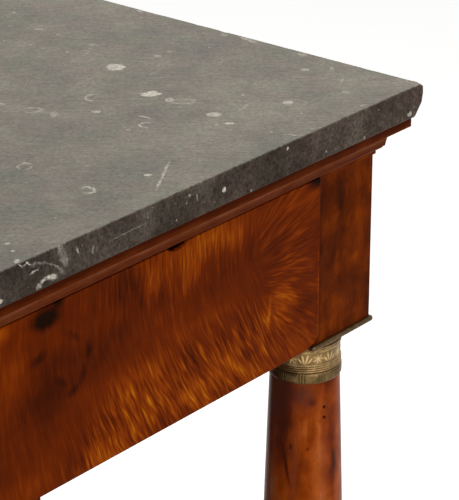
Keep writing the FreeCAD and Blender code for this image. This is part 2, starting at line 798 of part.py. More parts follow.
# ---- rear pilasters ----
def pilasterTenon(gap):
    """Plan of the pilaster's tenon, or of its mortise when a gap is given."""
    middle = "(backFace - pilasterDepth / 2)"
    low = f"columnX - pilasterTenonWide / 2 - {gap}"
    high = f"columnX + pilasterTenonWide / 2 + {gap}"
    front = f"{middle} - pilasterTenonDepth / 2 - {gap}"
    return rectangle(low, high, front, f"{middle} + pilasterTenonDepth / 2 + {gap}")


def pilaster():
    body = newBody("pilaster_right")
    plan = rectangle("pilasterInner", "pilasterOuter", "pilasterFront", "backFace")
    prism(body, "Pad", "XY_Plane", "plinthHeight", "abacusFoot", plan)
    low, high = "plinthHeight - columnTenonFoot", "friezeFoot + columnTenonTop"
    prism(body, "Pad", "XY_Plane", low, high, pilasterTenon("0"))
    groove = panelGroove("plinthHeight", "abacusFoot")
    high = "pilasterInner + panelTongue + grooveSlack"
    prism(body, "Pocket", "YZ_Plane", "pilasterInner", high, groove)
    mirrored(body, "pilaster_left")


def pilasterMount(label, profile, foot, top, most):
    """Brass mount on the front and sides of a pilaster, its mouldings mitred at the corners."""
    body = newBody(label)
    edge = f"({most} + pilasterMountWall)"
    back = "backPanelFace - stopGap"
    outer = ("pilasterInner - " + edge, "pilasterOuter + " + edge)
    front = "pilasterFront - " + edge
    prism(body, "Pad", "XY_Plane", foot, top, rectangle(*outer, front, back))
    clear = f"({edge} + pilasterMountWall)"

    def waste(start, sign):
        """What lies outside the profile, from a pilaster face outwards."""
        side = {"right": "left", "left": "right"}
        cut = []
        for corner in profile("pilasterMountWall", foot):
            spot = (f"({start}) + ({sign}) * ({corner[0]})", corner[1])
            if len(corner) > 2:
                spot += (corner[2], corner[3] if sign == "1" else side[corner[3]])
            cut.append(spot)
        far = f"({start}) + ({sign}) * {clear}"
        return cut + [(far, cut[-1][1]), (far, cut[0][1])]

    prism(body, "Pocket", "YZ_Plane", f"pilasterInner - {clear}", f"pilasterOuter + {clear}",
          waste("pilasterFront", "-1"))
    for start, sign in (("pilasterInner", "-1"), ("pilasterOuter", "1")):
        prism(body, "Pocket", "XZ_Plane", f"pilasterFront - {clear}", "backFace", waste(start, sign))
    inside = rectangle("pilasterInner - fitGap", "pilasterOuter + fitGap",
                       "pilasterFront - fitGap", "backFace")
    prism(body, "Pocket", "XY_Plane", foot, top, inside)
    mirrored(body, label.replace("right", "left"))


def pilasterMounts():
    pilasterMount("pilaster_capital_right", collarProfile, "shaftTop", "abacusFoot", "millProud")
    most = "(torusProud + torusSwell)"
    pilasterMount("pilaster_base_right", baseProfile, "plinthHeight", "shaftFoot", most)


def backPanel():
    """Thin panel in grooves of the pilasters and of the rail above, its top corners notched."""
    body = newBody("back_panel")
    wide = "(pilasterInner + panelTongue)"
    narrow = "(blockInner - abacusProud - stopGap)"
    shoulder = "abacusFoot - stopGap"
    corners = [
        (f"-{wide}", "plinthHeight"),
        (wide, "plinthHeight"),
        (wide, shoulder),
        (narrow, shoulder),
        (narrow, "friezeFoot + panelTongue"),
        (f"-{narrow}", "friezeFoot + panelTongue"),
        (f"-{narrow}", shoulder),
        (f"-{wide}", shoulder),
    ]
    prism(body, "Pad", "XZ_Plane", "backPanelFace", "backPanelFace + backPanelThick", corners)


# ---- plinth ----
def recessArc(line, radius):
    """Half width at which an arc about the recess's centre meets a line across the table."""
    return f"sqrt(({radius}) ^ 2 - (({line}) - recessCentre) ^ 2)"


def plinthBoard():
    body = newBody("plinth_board")
    corners = [
        ("boardEdge", "backFace"),
        ("-boardEdge", "backFace"),
        ("-boardEdge", "boardFront"),
        ("-recessHalf", "boardFront"),
        ("recessHalf", "boardFront", "recessRadius", "left"),
        ("boardEdge", "boardFront"),
    ]
    slab = prism(body, "Pad", "XY_Plane", "boardFoot", "plinthHeight", corners)
    rim = levelEdges(slab, "plinthHeight", edgesOnBack(slab, "backFace"))
    roundEdges(body, slab, "plinthRound", rim)
    low = "plinthHeight - columnTenonFoot - tenonSlack"
    holes = []
    for hand in ("1", "-1"):
        holes.append((f"{hand} * columnX", "columnY", "columnTenonRadius + fitGap"))
        mortise = pilasterTenon("tenonSlack")
        holes.append([(f"{hand} * ({x})", y) for x, y in mortise])
    prism(body, "Pocket", "XY_Plane", low, "plinthHeight", *holes)


def plinthFrame():
    front = newBody("plinth_front")
    outerRadius = "recessRadius + apronSet"
    innerRadius = "recessRadius + apronSet + apronThick"
    outer = recessArc("apronFront", outerRadius)
    inner = recessArc("apronBack", innerRadius)
    corners = [
        ("-apronEdge", "apronBack"),
        ("-apronEdge", "apronFront"),
        (f"-{outer}", "apronFront"),
        (outer, "apronFront", outerRadius, "left"),
        ("apronEdge", "apronFront"),
        ("apronEdge", "apronBack"),
        (inner, "apronBack"),
        (f"-{inner}", "apronBack", innerRadius, "right"),
    ]
    prism(front, "Pad", "XY_Plane", "0", "boardFoot", corners)
    tall = ("0", "boardFoot")
    side = board("plinth_side_right", ("apronInner", "apronEdge"), ("apronBack", "backFace"), tall)
    mirrored(side, "plinth_side_left")
    board("plinth_back", ("-apronInner", "apronInner"), ("apronRear", "backFace"), tall)

    blocks = newBody("plinth_glue_blocks")
    blocks.AllowCompound = True
    corners = []
    for hand in ("1", "-1"):
        for wall, inward in (("apronBack", "1"), ("apronRear", "-1")):
            corners.append([
                (f"{hand} * apronInner", wall),
                (f"{hand} * apronInner", f"{wall} + {inward} * glueBlockSide"),
                (f"{hand} * (apronInner - glueBlockSide)", wall),
            ])
    prism(blocks, "Pad", "XY_Plane", "glueBlockDrop", "boardFoot", *corners)


# ---- small metal fasteners ----
def nails():
    """Nails that hold the drawer bottom up to the drawer back."""
    body = newBody("drawer_bottom_nails")
    body.AllowCompound = True
    count = int(drivingSizes["nailCount"])
    row = [
        (f"drawerSideInner * ({2 * index} / (nailCount - 1) - 1) * 0.9",
         "drawerBackFace + drawerBackThick / 2", "nailRadius")
        for index in range(count)
    ]
    prism(body, "Pad", "XY_Plane", "bottomFoot", "bottomFoot + nailLength", *row)


marbleTop()
cornice()
cornerBlocks()
friezeSides()
friezeRails()
drawerTrack()
drawer()
column()
capital()
columnBase()
abacuses()
pilaster()
pilasterMounts()
backPanel()
plinthBoard()
plinthFrame()
nails()

doc.recompute()
for item in doc.Objects:
    if "Invalid" in item.State or "Error" in item.State:
        raise RuntimeError(f"{item.Label} failed: {item.State}")
for part in subParts:
    if part.Shape.isNull() or not part.Shape.isValid():
        raise RuntimeError(f"{part.Label} has no valid shape")

os.makedirs("parts", exist_ok=True)
for part in subParts:
    part.Shape.exportStep(f"parts/{part.Label}.step")
print(f"{len(subParts)} sub-parts written")
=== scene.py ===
import bpy
import bmesh
import math
from mathutils import Matrix, Vector, noise


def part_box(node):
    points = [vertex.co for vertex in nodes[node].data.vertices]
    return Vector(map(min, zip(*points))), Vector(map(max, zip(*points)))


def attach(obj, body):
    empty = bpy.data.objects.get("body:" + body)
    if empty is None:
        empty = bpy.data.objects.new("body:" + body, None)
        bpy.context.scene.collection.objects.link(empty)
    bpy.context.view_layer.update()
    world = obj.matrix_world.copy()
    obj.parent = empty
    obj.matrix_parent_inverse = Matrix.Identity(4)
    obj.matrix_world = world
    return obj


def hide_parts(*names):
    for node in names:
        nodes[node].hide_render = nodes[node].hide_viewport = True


# Pier table: fossil limestone slab on a mahogany frieze with one drawer, turned columns with brass mounts.
# Z up, the front faces -Y. The frame, camera and room are in metres, the pieces and patterns in millimetres.
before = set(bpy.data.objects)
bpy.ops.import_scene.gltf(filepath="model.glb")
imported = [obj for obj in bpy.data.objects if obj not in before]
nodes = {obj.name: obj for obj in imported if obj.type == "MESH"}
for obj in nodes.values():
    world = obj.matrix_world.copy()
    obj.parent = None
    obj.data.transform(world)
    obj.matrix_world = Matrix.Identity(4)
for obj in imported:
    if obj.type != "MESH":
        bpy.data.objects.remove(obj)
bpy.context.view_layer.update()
mm = 0.001


def addObject(name, data):
    thing = bpy.data.objects.new(name, data)
    bpy.context.scene.collection.objects.link(thing)
    return thing


def meshObject(name, bm):
    # The bmesh is used up.
    mesh = bpy.data.meshes.new(name)
    bm.to_mesh(mesh)
    bm.free()
    return addObject(name, mesh)


cameraSetup = {
    "place": (-0.9020, -1.2553, 1.5200),
    "turn": -50.46,  # degrees round the table from square in front
    "tilt": 23.6,  # degrees down
    "lens": 172.8,
    "sensor": 36,
    "farthest": 50,
}


def studioCamera(setup):
    data = bpy.data.cameras.new("camera")
    data.lens = setup["lens"]
    data.sensor_width = setup["sensor"]
    data.clip_end = setup["farthest"]
    camera = addObject("camera", data)
    camera.location = setup["place"]
    camera.rotation_euler = (math.radians(90 - setup["tilt"]), 0, math.radians(setup["turn"]))
    bpy.context.scene.camera = camera


studioCamera(cameraSetup)
bpy.context.scene.view_settings.view_transform = "Standard"


def linearColour(text):
    # Hex sRGB to linear RGBA.
    levels = [int(text[i:i + 2], 16) / 255 for i in (1, 3, 5)]
    return [v / 12.92 if v < 0.04045 else ((v + 0.055) / 1.055) ** 2.4 for v in levels] + [1]


def addNode(tree, kind, inputs=None, ramp=None, **settings):
    # Adds a node with its settings, its values or links, and its colour ramp. A maths node's operation stands
    # after its kind, and a node given as a value stands for its result. Of a MapRange, 1 and 2 are the range
    # that comes in, and 3 and 4 what it becomes.
    kind, *operation = kind.split()
    node = tree.nodes.new(kind if kind.startswith("Node") else "ShaderNode" + kind)
    if operation:
        node.operation = operation[0]
    for name, value in settings.items():
        setattr(node, name, value)
    for name, value in (inputs or {}).items():
        if isinstance(value, bpy.types.Node):
            value = next(socket for socket in value.outputs if socket.enabled)
        if isinstance(value, bpy.types.NodeSocket):
            tree.links.new(value, node.inputs[name])
        elif isinstance(value, str):
            node.inputs[name].default_value = linearColour(value)
        else:
            node.inputs[name].default_value = value
    for index, (spot, colour) in enumerate(ramp or ()):
        marks = node.color_ramp.elements
        mark = marks[index] if index < 2 else marks.new(spot)
        mark.position = spot
        mark.color = linearColour(colour)
    return node


def newMaterial(name):
    material = bpy.data.materials.new(name)
    material.use_nodes = True
    material.node_tree.nodes.clear()
    return material, material.node_tree


def surfaced(material, sockets):
    # Ends a material with the shader whose values or links are given.
    shader = addNode(material.node_tree, "BsdfPrincipled", sockets)
    addNode(material.node_tree, "OutputMaterial", {"Surface": shader})
    return material


roomSetup = {
    "worldLight": 0.32,  # plain grey light from all round
    "lamps": {
        "overhead": {"place": (0.1, -0.35, 2.75), "aim": (0.0, 0.0, 0.8), "size": 2.2, "power": 34},
        "front": {"place": (-0.3, -2.6, 1.5), "aim": (0.1, 0.0, 0.6), "size": 1.5, "power": 34},
        "back": {"place": (-1.4, 2.4, 1.9), "aim": (0.0, 0.0, 0.6), "size": 1.8, "power": 14},
    },
    "floorSize": 30,
    "floorPale": "#efeeeb",
    "floorGlow": 0.6,  # white that the camera sees in the floor on top of its paint
}


def raysThatShowBackground(tree):
    # 1 for camera, glossy and transmission rays, 0 for the rays that light the table.
    path = addNode(tree, "LightPath").outputs
    seen = path["Is Camera Ray"]
    for name in ("Is Glossy Ray", "Is Transmission Ray"):
        seen = addNode(tree, "Math MAXIMUM", {0: seen, 1: path[name]})
    return seen


def skyLight(setup):
    world = bpy.data.worlds.new("studio")
    bpy.context.scene.world = world
    world.use_nodes = True
    tree = world.node_tree
    tree.nodes.clear()
    strength = addNode(tree, "MapRange", {0: raysThatShowBackground(tree), 3: setup["worldLight"], 4: 1.0})
    sky = addNode(tree, "Background", {"Color": "#ffffff", "Strength": strength})
    addNode(tree, "OutputWorld", {"Surface": sky})


def softLamp(name, lamp):
    data = bpy.data.lights.new(name, "AREA")
    data.size = lamp["size"]
    data.energy = lamp["power"]
    softbox = addObject(name, data)
    softbox.location = lamp["place"]
    aim = Vector(lamp["aim"]) - Vector(lamp["place"])
    softbox.rotation_euler = aim.to_track_quat("-Z", "Y").to_euler()


def paintedFloor(setup):
    bm = bmesh.new()
    bmesh.ops.create_grid(bm, x_segments=1, y_segments=1, size=setup["floorSize"] / 2)
    floor = meshObject("floor", bm)
    material, tree = newMaterial("paintedFloor")
    paint = addNode(tree, "BsdfDiffuse", {"Color": setup["floorPale"]})
    strength = addNode(tree, "Math MULTIPLY", {0: raysThatShowBackground(tree), 1: setup["floorGlow"]})
    glow = addNode(tree, "Emission", {"Color": "#ffffff", "Strength": strength})
    both = addNode(tree, "AddShader", {0: paint, 1: glow})
    addNode(tree, "OutputMaterial", {"Surface": both})
    floor.data.materials.append(material)


skyLight(roomSetup)
for name, lamp in roomSetup["lamps"].items():
    softLamp(name, lamp)
paintedFloor(roomSetup)
print("room and camera ready")


def objectPoint(tree):
    # Object coordinates in millimetres.
    place = addNode(tree, "TexCoord").outputs["Object"]
    return addNode(tree, "VectorMath SCALE", {0: place, "Scale": 1 / mm})


def grainNoise(tree, point, cell, detail=3.0, roughness=0.55, seed=0.0):
    # Noise whose cells are as long as cell says, in millimetres along x, y and z.
    placed = addNode(tree, "Mapping", {"Vector": point, "Location": [seed] * 3,
                                       "Scale": [1 / c for c in cell]})
    return addNode(tree, "TexNoise", {"Vector": placed, "Scale": 1.0, "Detail": detail,
                                      "Roughness": roughness})


def withSwing(tree, value, made, weight):
    # Adds to a value how far noise swings from its middle.
    centred = addNode(tree, "Math SUBTRACT", {0: made, 1: 0.5})
    return addNode(tree, "Math MULTIPLY_ADD", {0: centred, 1: weight, 2: value})


def wavering(tree, point, cell, reach):
    # The point moved about a little, so that straight patterns wander.
    placed = addNode(tree, "VectorMath SCALE", {0: point, "Scale": 1 / cell})
    made = addNode(tree, "TexNoise", {"Vector": placed, "Scale": 1.0, "Detail": 2.0})
    centred = addNode(tree, "VectorMath SUBTRACT", {0: made.outputs[1], 1: (0.5, 0.5, 0.5)})
    return addNode(tree, "VectorMath MULTIPLY_ADD", {0: centred, 1: [2 * reach] * 3, 2: point})


def mirroredPoint(tree, point):
    # The same figure on both halves of the table, as book-matched veneer has.
    x, y, z = addNode(tree, "SeparateXYZ", {0: point}).outputs
    across = addNode(tree, "Math ABSOLUTE", {0: x})
    return addNode(tree, "CombineXYZ", {0: across, 1: y, 2: z})


def softSpots(tree, point, spots, total=0.0):
    # Adds soft oval patches to a value. A spot is centre, half sizes, strength and perhaps a turn in degrees.
    for centre, half, strength, *turn in spots:
        turn = turn[0] if turn else (0, 0, 0)
        placed = addNode(tree, "Mapping", {
            "Vector": point, "Location": centre, "Scale": half,
            "Rotation": [math.radians(t) for t in turn]}, vector_type="TEXTURE")
        fall = addNode(tree, "TexGradient", {"Vector": placed}, gradient_type="QUADRATIC_SPHERE")
        total = addNode(tree, "Math MULTIPLY_ADD", {0: fall.outputs[1], 1: strength, 2: total})
    return total


def fossilShape():
    # One fossil: a soft-edged blob, ring or part of a ring. The point's z carries the strongest mask so far.
    group = bpy.data.node_groups.new("fossil", "ShaderNodeTree")
    for name, kind in (("Point", "Vector"), ("Place", "Vector"), ("Half", "Vector"), ("Turn", "Vector"),
                       ("Hollow", "Float"), ("Cut", "Float"), ("Strength", "Float")):
        group.interface.new_socket(name, in_out="INPUT", socket_type="NodeSocket" + kind)
    group.interface.new_socket("Point", in_out="OUTPUT", socket_type="NodeSocketVector")
    given = addNode(group, "NodeGroupInput").outputs
    unit = addNode(group, "Mapping", {
        "Vector": given["Point"], "Location": given["Place"], "Rotation": given["Turn"],
        "Scale": given["Half"]}, vector_type="TEXTURE")
    far = addNode(group, "VectorMath LENGTH", {0: unit})
    side = addNode(group, "SeparateXYZ", {0: unit})
    shown = addNode(group, "MapRange", {0: far, 1: 1.0, 2: 0.72, 4: given["Strength"]},
                    interpolation_type="SMOOTHSTEP")
    for value, limit, soft in ((far, given["Hollow"], 0.3), (side, given["Cut"], 0.5)):
        start = addNode(group, "Math SUBTRACT", {0: limit, 1: soft})
        kept = addNode(group, "MapRange", {0: value, 1: start, 2: limit}, interpolation_type="SMOOTHSTEP")
        shown = addNode(group, "Math MULTIPLY", {0: shown, 1: kept})
    x, y, strongest = addNode(group, "SeparateXYZ", {0: given["Point"]}).outputs
    strongest = addNode(group, "Math MAXIMUM", {0: shown, 1: strongest})
    addNode(group, "NodeGroupOutput", {0: addNode(group, "CombineXYZ", {0: x, 1: y, 2: strongest})})
    return group


def inlaidFossils(tree, x, y, shape, fossils):
    # The strongest fossil at a point. One is x, y, half sizes, turn and strength. A ring also has its hollow,
    # as a share of its size, and the place along it from which it shows.
    point = addNode(tree, "CombineXYZ", {0: x, 1: y})
    for x, y, long, wide, turn, strength, *ring in fossils:
        hollow, cut = ring or (0, -2)
        point = addNode(tree, "Group", {
            "Point": point, "Place": (x, y, 0), "Half": (long, wide, 1000),
            "Turn": (0, 0, math.radians(turn)), "Hollow": hollow, "Cut": cut, "Strength": strength},
            node_tree=shape)
    return addNode(tree, "SeparateXYZ", {0: point}).outputs[2]


stoneLook = {
    # the worn top's tones are paler from wear and also from painted sheen
    "wornAndSheenTones": [(0.33, "#79776f"), (0.5, "#837e74"), (0.66, "#8b867b")],
    "polishedTones": [(0.33, "#342c26"), (0.5, "#443b34"), (0.66, "#554d45")],
    "tints": [(0.36, "#8e968c"), (0.5, "#929090"), (0.64, "#988c92")],  # green to lilac
    "calcite": [(0.3, "#958e83"), (0.6, "#d2cbbd")],
    "rough": {3: 0.32, 4: 0.55},  # where polished and where worn
    "unevenness": {1: 0.3, 2: 0.7, 3: -0.06, 4: 0.06},
    "specular": 0.008,
    "wornFrom": {1: 0.55, 2: 0.97},  # how level a face has to be to count as worn
    "speckle": {3: 3.75, 4: 1.6},  # strength of the crystals, where polished and where worn
    "rubbing": {"turn": 50.46, "cell": (26, 1.5, 4)},  # marks left by the mason
    "scuff": {1: 0.35, 2: 0.65, 3: 0.88, 4: 1.12},
    "tintShare": 0.38,
    "paintedLightAlongFront": {1: 150, 2: 520, 3: 0.96, 4: 1.22},  # painted light: the front edge is lighter to the right
    "paintedLightToRight": {1: 150, 2: 560, 3: 0.975, 4: 1.2},  # painted light: and so is the whole right end
    # small shells: one in each cell whose random number is past the rare share
    "scraps": {"scale": 1 / 15, "rare": 0.55, "sizes": {3: -0.02, 4: 0.10}, "soft": 0.03, "strength": 0.5},
    "crumbs": {"scale": 1.0, "rare": 0.7, "sizes": {3: -0.04, 4: 0.22}, "soft": 0.06},
    "crumbCells": {"Rotation": (0.5, 0.9, 0.4), "Scale": (1 / 5, 1 / 9, 1 / 5)},
    "crumbStrength": {3: 0.38, 4: 0.24},  # where polished and where worn
    # broken rings 8 to 16 mm wide
    "rings": {"scale": 1 / 52, "rare": 0.7, "radius": {3: 0.07, 4: 0.15},
              "line": {1: 0.02, 2: 0.006, 4: 0.34}, "breakCell": (9, 9, 9), "breaks": {1: 0.46, 2: 0.56}},
    # lighter and darker patches: centre, half sizes, strength. The first two are painted light, lighter at
    # the far right of the top and darker at the front left; the three on the front edge are darker and
    # lighter stone
    "tonePatchesAndPaintedLight": [
        ((570, 170, 880), (150, 270, 900), 0.16),
        ((110, -235, 880), (330, 80, 40), -0.09),
        ((482, -230, 866), (40, 30, 16), -0.26),
        ((326, -230, 866), (36, 30, 16), -0.26),
        ((392, -230, 866), (40, 30, 16), 0.2),
    ],
    # shells and crinoid stems that show best on the worn top: x, y, half sizes, turn, strength, hollow, cut
    "onTop": [
        (501, 148, 6, 4, -50, 0.55, 0.75, 0.0), (484, 98, 5, 1.4, -50, 0.9), (484, 75, 1.6, 1.6, 0, 0.7),
        (445, 98, 3, 1.2, -50, 0.4), (483, 36, 3, 1.6, -50, 0.6), (456, 39, 1.4, 1.4, 0, 0.6),
        (465, 28, 5, 7, -50, 0.45, 0.75, 0.0), (454, -17, 9, 5, -50, 1.3), (456.9, -13.3, 7.4, 2.6, -50, 1.3),
        (449.4, -20.4, 7.4, 2.8, -50, 1.5), (495, -26, 4, 3.4, 10, 0.6, 0.3, -0.2),
        (478, -42, 1.5, 1.5, 0, 0.6), (388, -51, 6, 9, 130, 0.95, 0.8, 0.1), (424, -81, 9.6, 2.8, -50, 2.6),
        (427.6, -79.2, 4.4, 3.2, -50, 2.2), (420.6, -82.2, 6.4, 3.2, -50, 2.4), (576, 65, 5, 2.5, 60, 0.5),
        (572, -33, 5, 2.5, 60, 0.5), (575, -57, 12, 3, 80, 0.6, 0.2, -2), (510, -26, 2, 2, 0, 0.5),
        (520, -72, 3, 6, -50, 0.4, 0.7, 0.0), (423, -101, 4, 5, -50, 0.85),
        (427, -111, 12, 7, -50, 0.7, 0.82, -0.4), (468, -138, 1.5, 1.5, 0, 0.6),
        (448, -156, 14, 0.9, 12, 0.4), (574, -114, 6, 4, 75, 0.6), (546, -139, 3, 3.6, 20, 0.9),
        (562, -154, 2.5, 5, -50, 0.5), (545, -177, 4.5, 0.8, 30, 0.5), (524, -196, 3, 4.5, 0, 0.45),
        (477, -176, 5, 3.8, -50, 0.8), (480, -180, 12, 8, -50, 0.3, 0.85, -0.6),
        (509, -225, 3.5, 1, -20, 0.6), (424, -223, 7, 1.0, -62, 0.8), (419, -206, 1.6, 1.6, 0, 0.6),
        (338, -34, 11, 7, -45, 0.6, 0.78, -0.1), (342, -54, 3, 7, -50, 0.4, 0.2, -2),
        (367, -75, 4.6, 2.4, -50, 0.85), (382, -112, 7, 1.6, -80, 0.55),
        (370, -125, 8, 7, 120, 1.05, 0.8, 0.2), (354, -120, 2, 2, 0, 0.6), (255, -109, 4, 2.2, -50, 0.7),
        (294, -192, 3.4, 2.4, -50, 0.9), (301, -200.5, 34, 1.2, 31.5, 0.6),
        (245, -178, 7, 8.5, -35, 0.8, 0.72, -0.1), (420, -149, 7, 5, -48, 0.8),
        (412, -170, 5, 2.6, -50, 0.85), (404, -164, 1.5, 1.5, 0, 0.6), (135, -213, 1.8, 1.8, 0, 0.7),
        (141, -201, 2, 2, 0, 0.6), (124, -226.5, 3.5, 2, 30, 0.6),
    ],
    # the same on the front edge, with z for y
    "onFront": [
        (164, 872, 4, 11, 25, 0.25), (124, 877.6, 2.8, 0.9, -50, 0.8), (129, 877.2, 3.6, 0.9, 24, 0.8),
        (132, 876.2, 2.8, 0.8, -30, 0.7), (148.9, 866.6, 5, 20, 62.5, 0.42, 0.86, 0.2),
        (303.6, 869.1, 0.7, 3.4, 10, 0.4), (292.6, 868.7, 0.8, 2.2, -15, 0.35),
        (250.8, 873, 0.7, 2.8, 5, 0.35), (137, 869.5, 5, 0.9, 10, 0.5),
        (148, 856.8, 5.8, 11.5, 95, 0.85, 0.6, 0.15), (179, 870, 1.1, 5, 20, 0.45),
        (194, 866, 0.9, 4, -10, 0.35), (229, 867, 21, 0.5, 2, 0.26), (104, 859, 2.4, 2.4, 0, 0.9),
        (334, 866, 2.0, 2.6, 0, 1.0), (408, 876, 1.6, 1.6, 0, 0.6), (564, 858.3, 3.6, 2.0, 20, 0.9),
    ],
}


def limestoneGround(tree, point, worn, tint, look):
    # Clouds of 30 to 80 mm, green and lilac by turns.
    cloud = grainNoise(tree, point, (60, 60, 60), 4.0, 0.6)
    top = addNode(tree, "ValToRGB", {0: cloud}, look["wornAndSheenTones"])
    side = addNode(tree, "ValToRGB", {0: cloud}, look["polishedTones"])
    across = addNode(tree, "SeparateXYZ", {0: point})
    # painted light: the front edge and the whole right end are made lighter towards the right
    gain = addNode(tree, "MapRange", {0: across, **look["paintedLightAlongFront"]})
    side = addNode(tree, "VectorMath SCALE", {0: side, "Scale": gain})
    base = addNode(tree, "Mix", {0: worn, 6: side, 7: top}, data_type="RGBA")
    paintedLightToRight = addNode(tree, "MapRange", {0: across, **look["paintedLightToRight"]})
    for share in (paintedLightToRight, softSpots(tree, point, look["tonePatchesAndPaintedLight"], 1.0)):
        base = addNode(tree, "VectorMath SCALE", {0: base, "Scale": share})
    tint = addNode(tree, "ValToRGB", {0: tint}, look["tints"])
    return addNode(tree, "Mix", {0: look["tintShare"], 6: base, 7: tint}, data_type="RGBA",
                   blend_type="OVERLAY")


def shellCrumbs(tree, point, scale, rare, sizes, soft, strength):
    cells = addNode(tree, "TexVoronoi", {"Vector": point, "Scale": scale})
    kind = addNode(tree, "SeparateColor", {0: cells.outputs["Color"]})
    size = addNode(tree, "MapRange", {0: kind, 1: rare, **sizes})
    inside = addNode(tree, "Math SUBTRACT", {0: size, 1: cells.outputs["Distance"]})
    return addNode(tree, "MapRange", {0: inside, 2: soft, 4: strength})


def shellRings(tree, point, edged, look):
    cells = addNode(tree, "TexVoronoi", {"Vector": edged, "Scale": look["scale"]})
    kind = addNode(tree, "SeparateColor", {0: cells.outputs["Color"]}).outputs
    radius = addNode(tree, "MapRange", {0: kind[1], **look["radius"]})
    off = addNode(tree, "Math SUBTRACT", {0: cells.outputs["Distance"], 1: radius})
    away = addNode(tree, "Math ABSOLUTE", {0: off})
    rings = addNode(tree, "MapRange", {0: away, **look["line"]})
    chosen = addNode(tree, "Math GREATER_THAN", {0: kind[2], 1: look["rare"]})
    broken = grainNoise(tree, point, look["breakCell"], 1.0, 0.5, 17)
    partly = addNode(tree, "MapRange", {0: broken, **look["breaks"]})
    for share in (chosen, partly):
        rings = addNode(tree, "Math MULTIPLY", {0: rings, 1: share})
    return rings


def scatteredShells(tree, point, wavy, worn, look):
    # Small scraps everywhere, rings, and crumbs that show best on the polished sides.
    edged = wavering(tree, point, 5, 0.9)
    scraps = shellCrumbs(tree, edged, **look["scraps"])
    placed = addNode(tree, "Mapping", {"Vector": wavy, **look["crumbCells"]})
    strength = addNode(tree, "MapRange", {0: worn, **look["crumbStrength"]})
    crumbs = shellCrumbs(tree, placed, **look["crumbs"], strength=strength)
    shells = shellRings(tree, point, edged, look["rings"])
    for mask in (scraps, crumbs):
        shells = addNode(tree, "Math MAXIMUM", {0: shells, 1: mask})
    return shells


def largeFossils(tree, point, wavy, facing, worn, look):
    # The fossils listed one by one, patchy as ground calcite is.
    shape = fossilShape()
    x, y, z = addNode(tree, "SeparateXYZ", {0: wavy}).outputs
    onTop = inlaidFossils(tree, x, y, shape, look["onTop"])
    # away from the front edge the height is lifted out of reach
    away = addNode(tree, "Math GREATER_THAN", {0: facing[1], 1: -0.5})
    lifted = addNode(tree, "Math MULTIPLY_ADD", {0: away, 1: 1000.0, 2: z})
    onFront = inlaidFossils(tree, x, lifted, shape, look["onFront"])
    onTop = addNode(tree, "Math MULTIPLY", {0: onTop, 1: worn})
    large = addNode(tree, "Math MAXIMUM", {0: onTop, 1: onFront})
    fine = grainNoise(tree, point, (3.0, 3.0, 3.0), 3.0, 0.8, 37)
    patchy = addNode(tree, "MapRange", {0: fine, 1: 0.40, 2: 0.58, 3: 0.3, 4: 1.1})
    return addNode(tree, "Math MULTIPLY", {0: large, 1: patchy})


def fossilLimestone(look):
    # Fossil limestone: dark and shiny where it was polished, paler and matt where use has worn the top. The
    # top's paler tones also hold painted sheen.
    material, tree = newMaterial("honedFossilLimestone")
    point = objectPoint(tree)
    facing = addNode(tree, "SeparateXYZ", {0: addNode(tree, "NewGeometry").outputs["True Normal"]}).outputs
    worn = addNode(tree, "MapRange", {0: facing[2], **look["wornFrom"]}, interpolation_type="SMOOTHSTEP")
    tint = grainNoise(tree, point, (34, 34, 34), 3.0, 0.5, 31)
    base = limestoneGround(tree, point, worn, tint, look)
    # crystal speckle about 1 mm wide, stronger where the stone is polished
    speckle = grainNoise(tree, point, (2.6, 2.6, 2.6), 4.0, 0.85, 5)
    coarse = addNode(tree, "MapRange", {0: worn, **look["speckle"]})
    grit = addNode(tree, "Math MAXIMUM", {0: withSwing(tree, 1.0, speckle, coarse), 1: 0.25})
    turn = (0, 0, math.radians(look["rubbing"]["turn"]))
    turned = addNode(tree, "Mapping", {"Vector": point, "Rotation": turn})
    rubbing = grainNoise(tree, turned, look["rubbing"]["cell"], 3.0, 0.6, 11)
    scuff = addNode(tree, "MapRange", {0: rubbing, **look["scuff"]})
    for share in (grit, scuff):
        base = addNode(tree, "VectorMath SCALE", {0: base, "Scale": share})
    wavy = wavering(tree, wavering(tree, point, 4, 1.1), 2.0, 1.5)
    scattered = scatteredShells(tree, point, wavy, worn, look)
    large = largeFossils(tree, point, wavy, facing, worn, look)
    fossils = addNode(tree, "Math MAXIMUM", {0: large, 1: scattered})
    worms = grainNoise(tree, point, (2.2, 2.2, 2.2), 3.0, 0.7, 23)
    calcite = addNode(tree, "ValToRGB", {0: worms}, look["calcite"])
    colour = addNode(tree, "Mix", {0: fossils, 6: base, 7: calcite}, data_type="RGBA")
    matt = addNode(tree, "MapRange", {0: worn, **look["rough"]})
    uneven = addNode(tree, "MapRange", {0: tint, **look["unevenness"]})
    rough = addNode(tree, "Math ADD", {0: matt, 1: uneven})
    height = addNode(tree, "Math ADD", {0: speckle, 1: rubbing})
    bump = addNode(tree, "Bump", {"Height": height, "Strength": 0.25, "Distance": 0.2 * mm})
    return surfaced(material, {"Base Color": colour, "Roughness": rough, "Normal": bump,
                               "Specular IOR Level": look["specular"]})


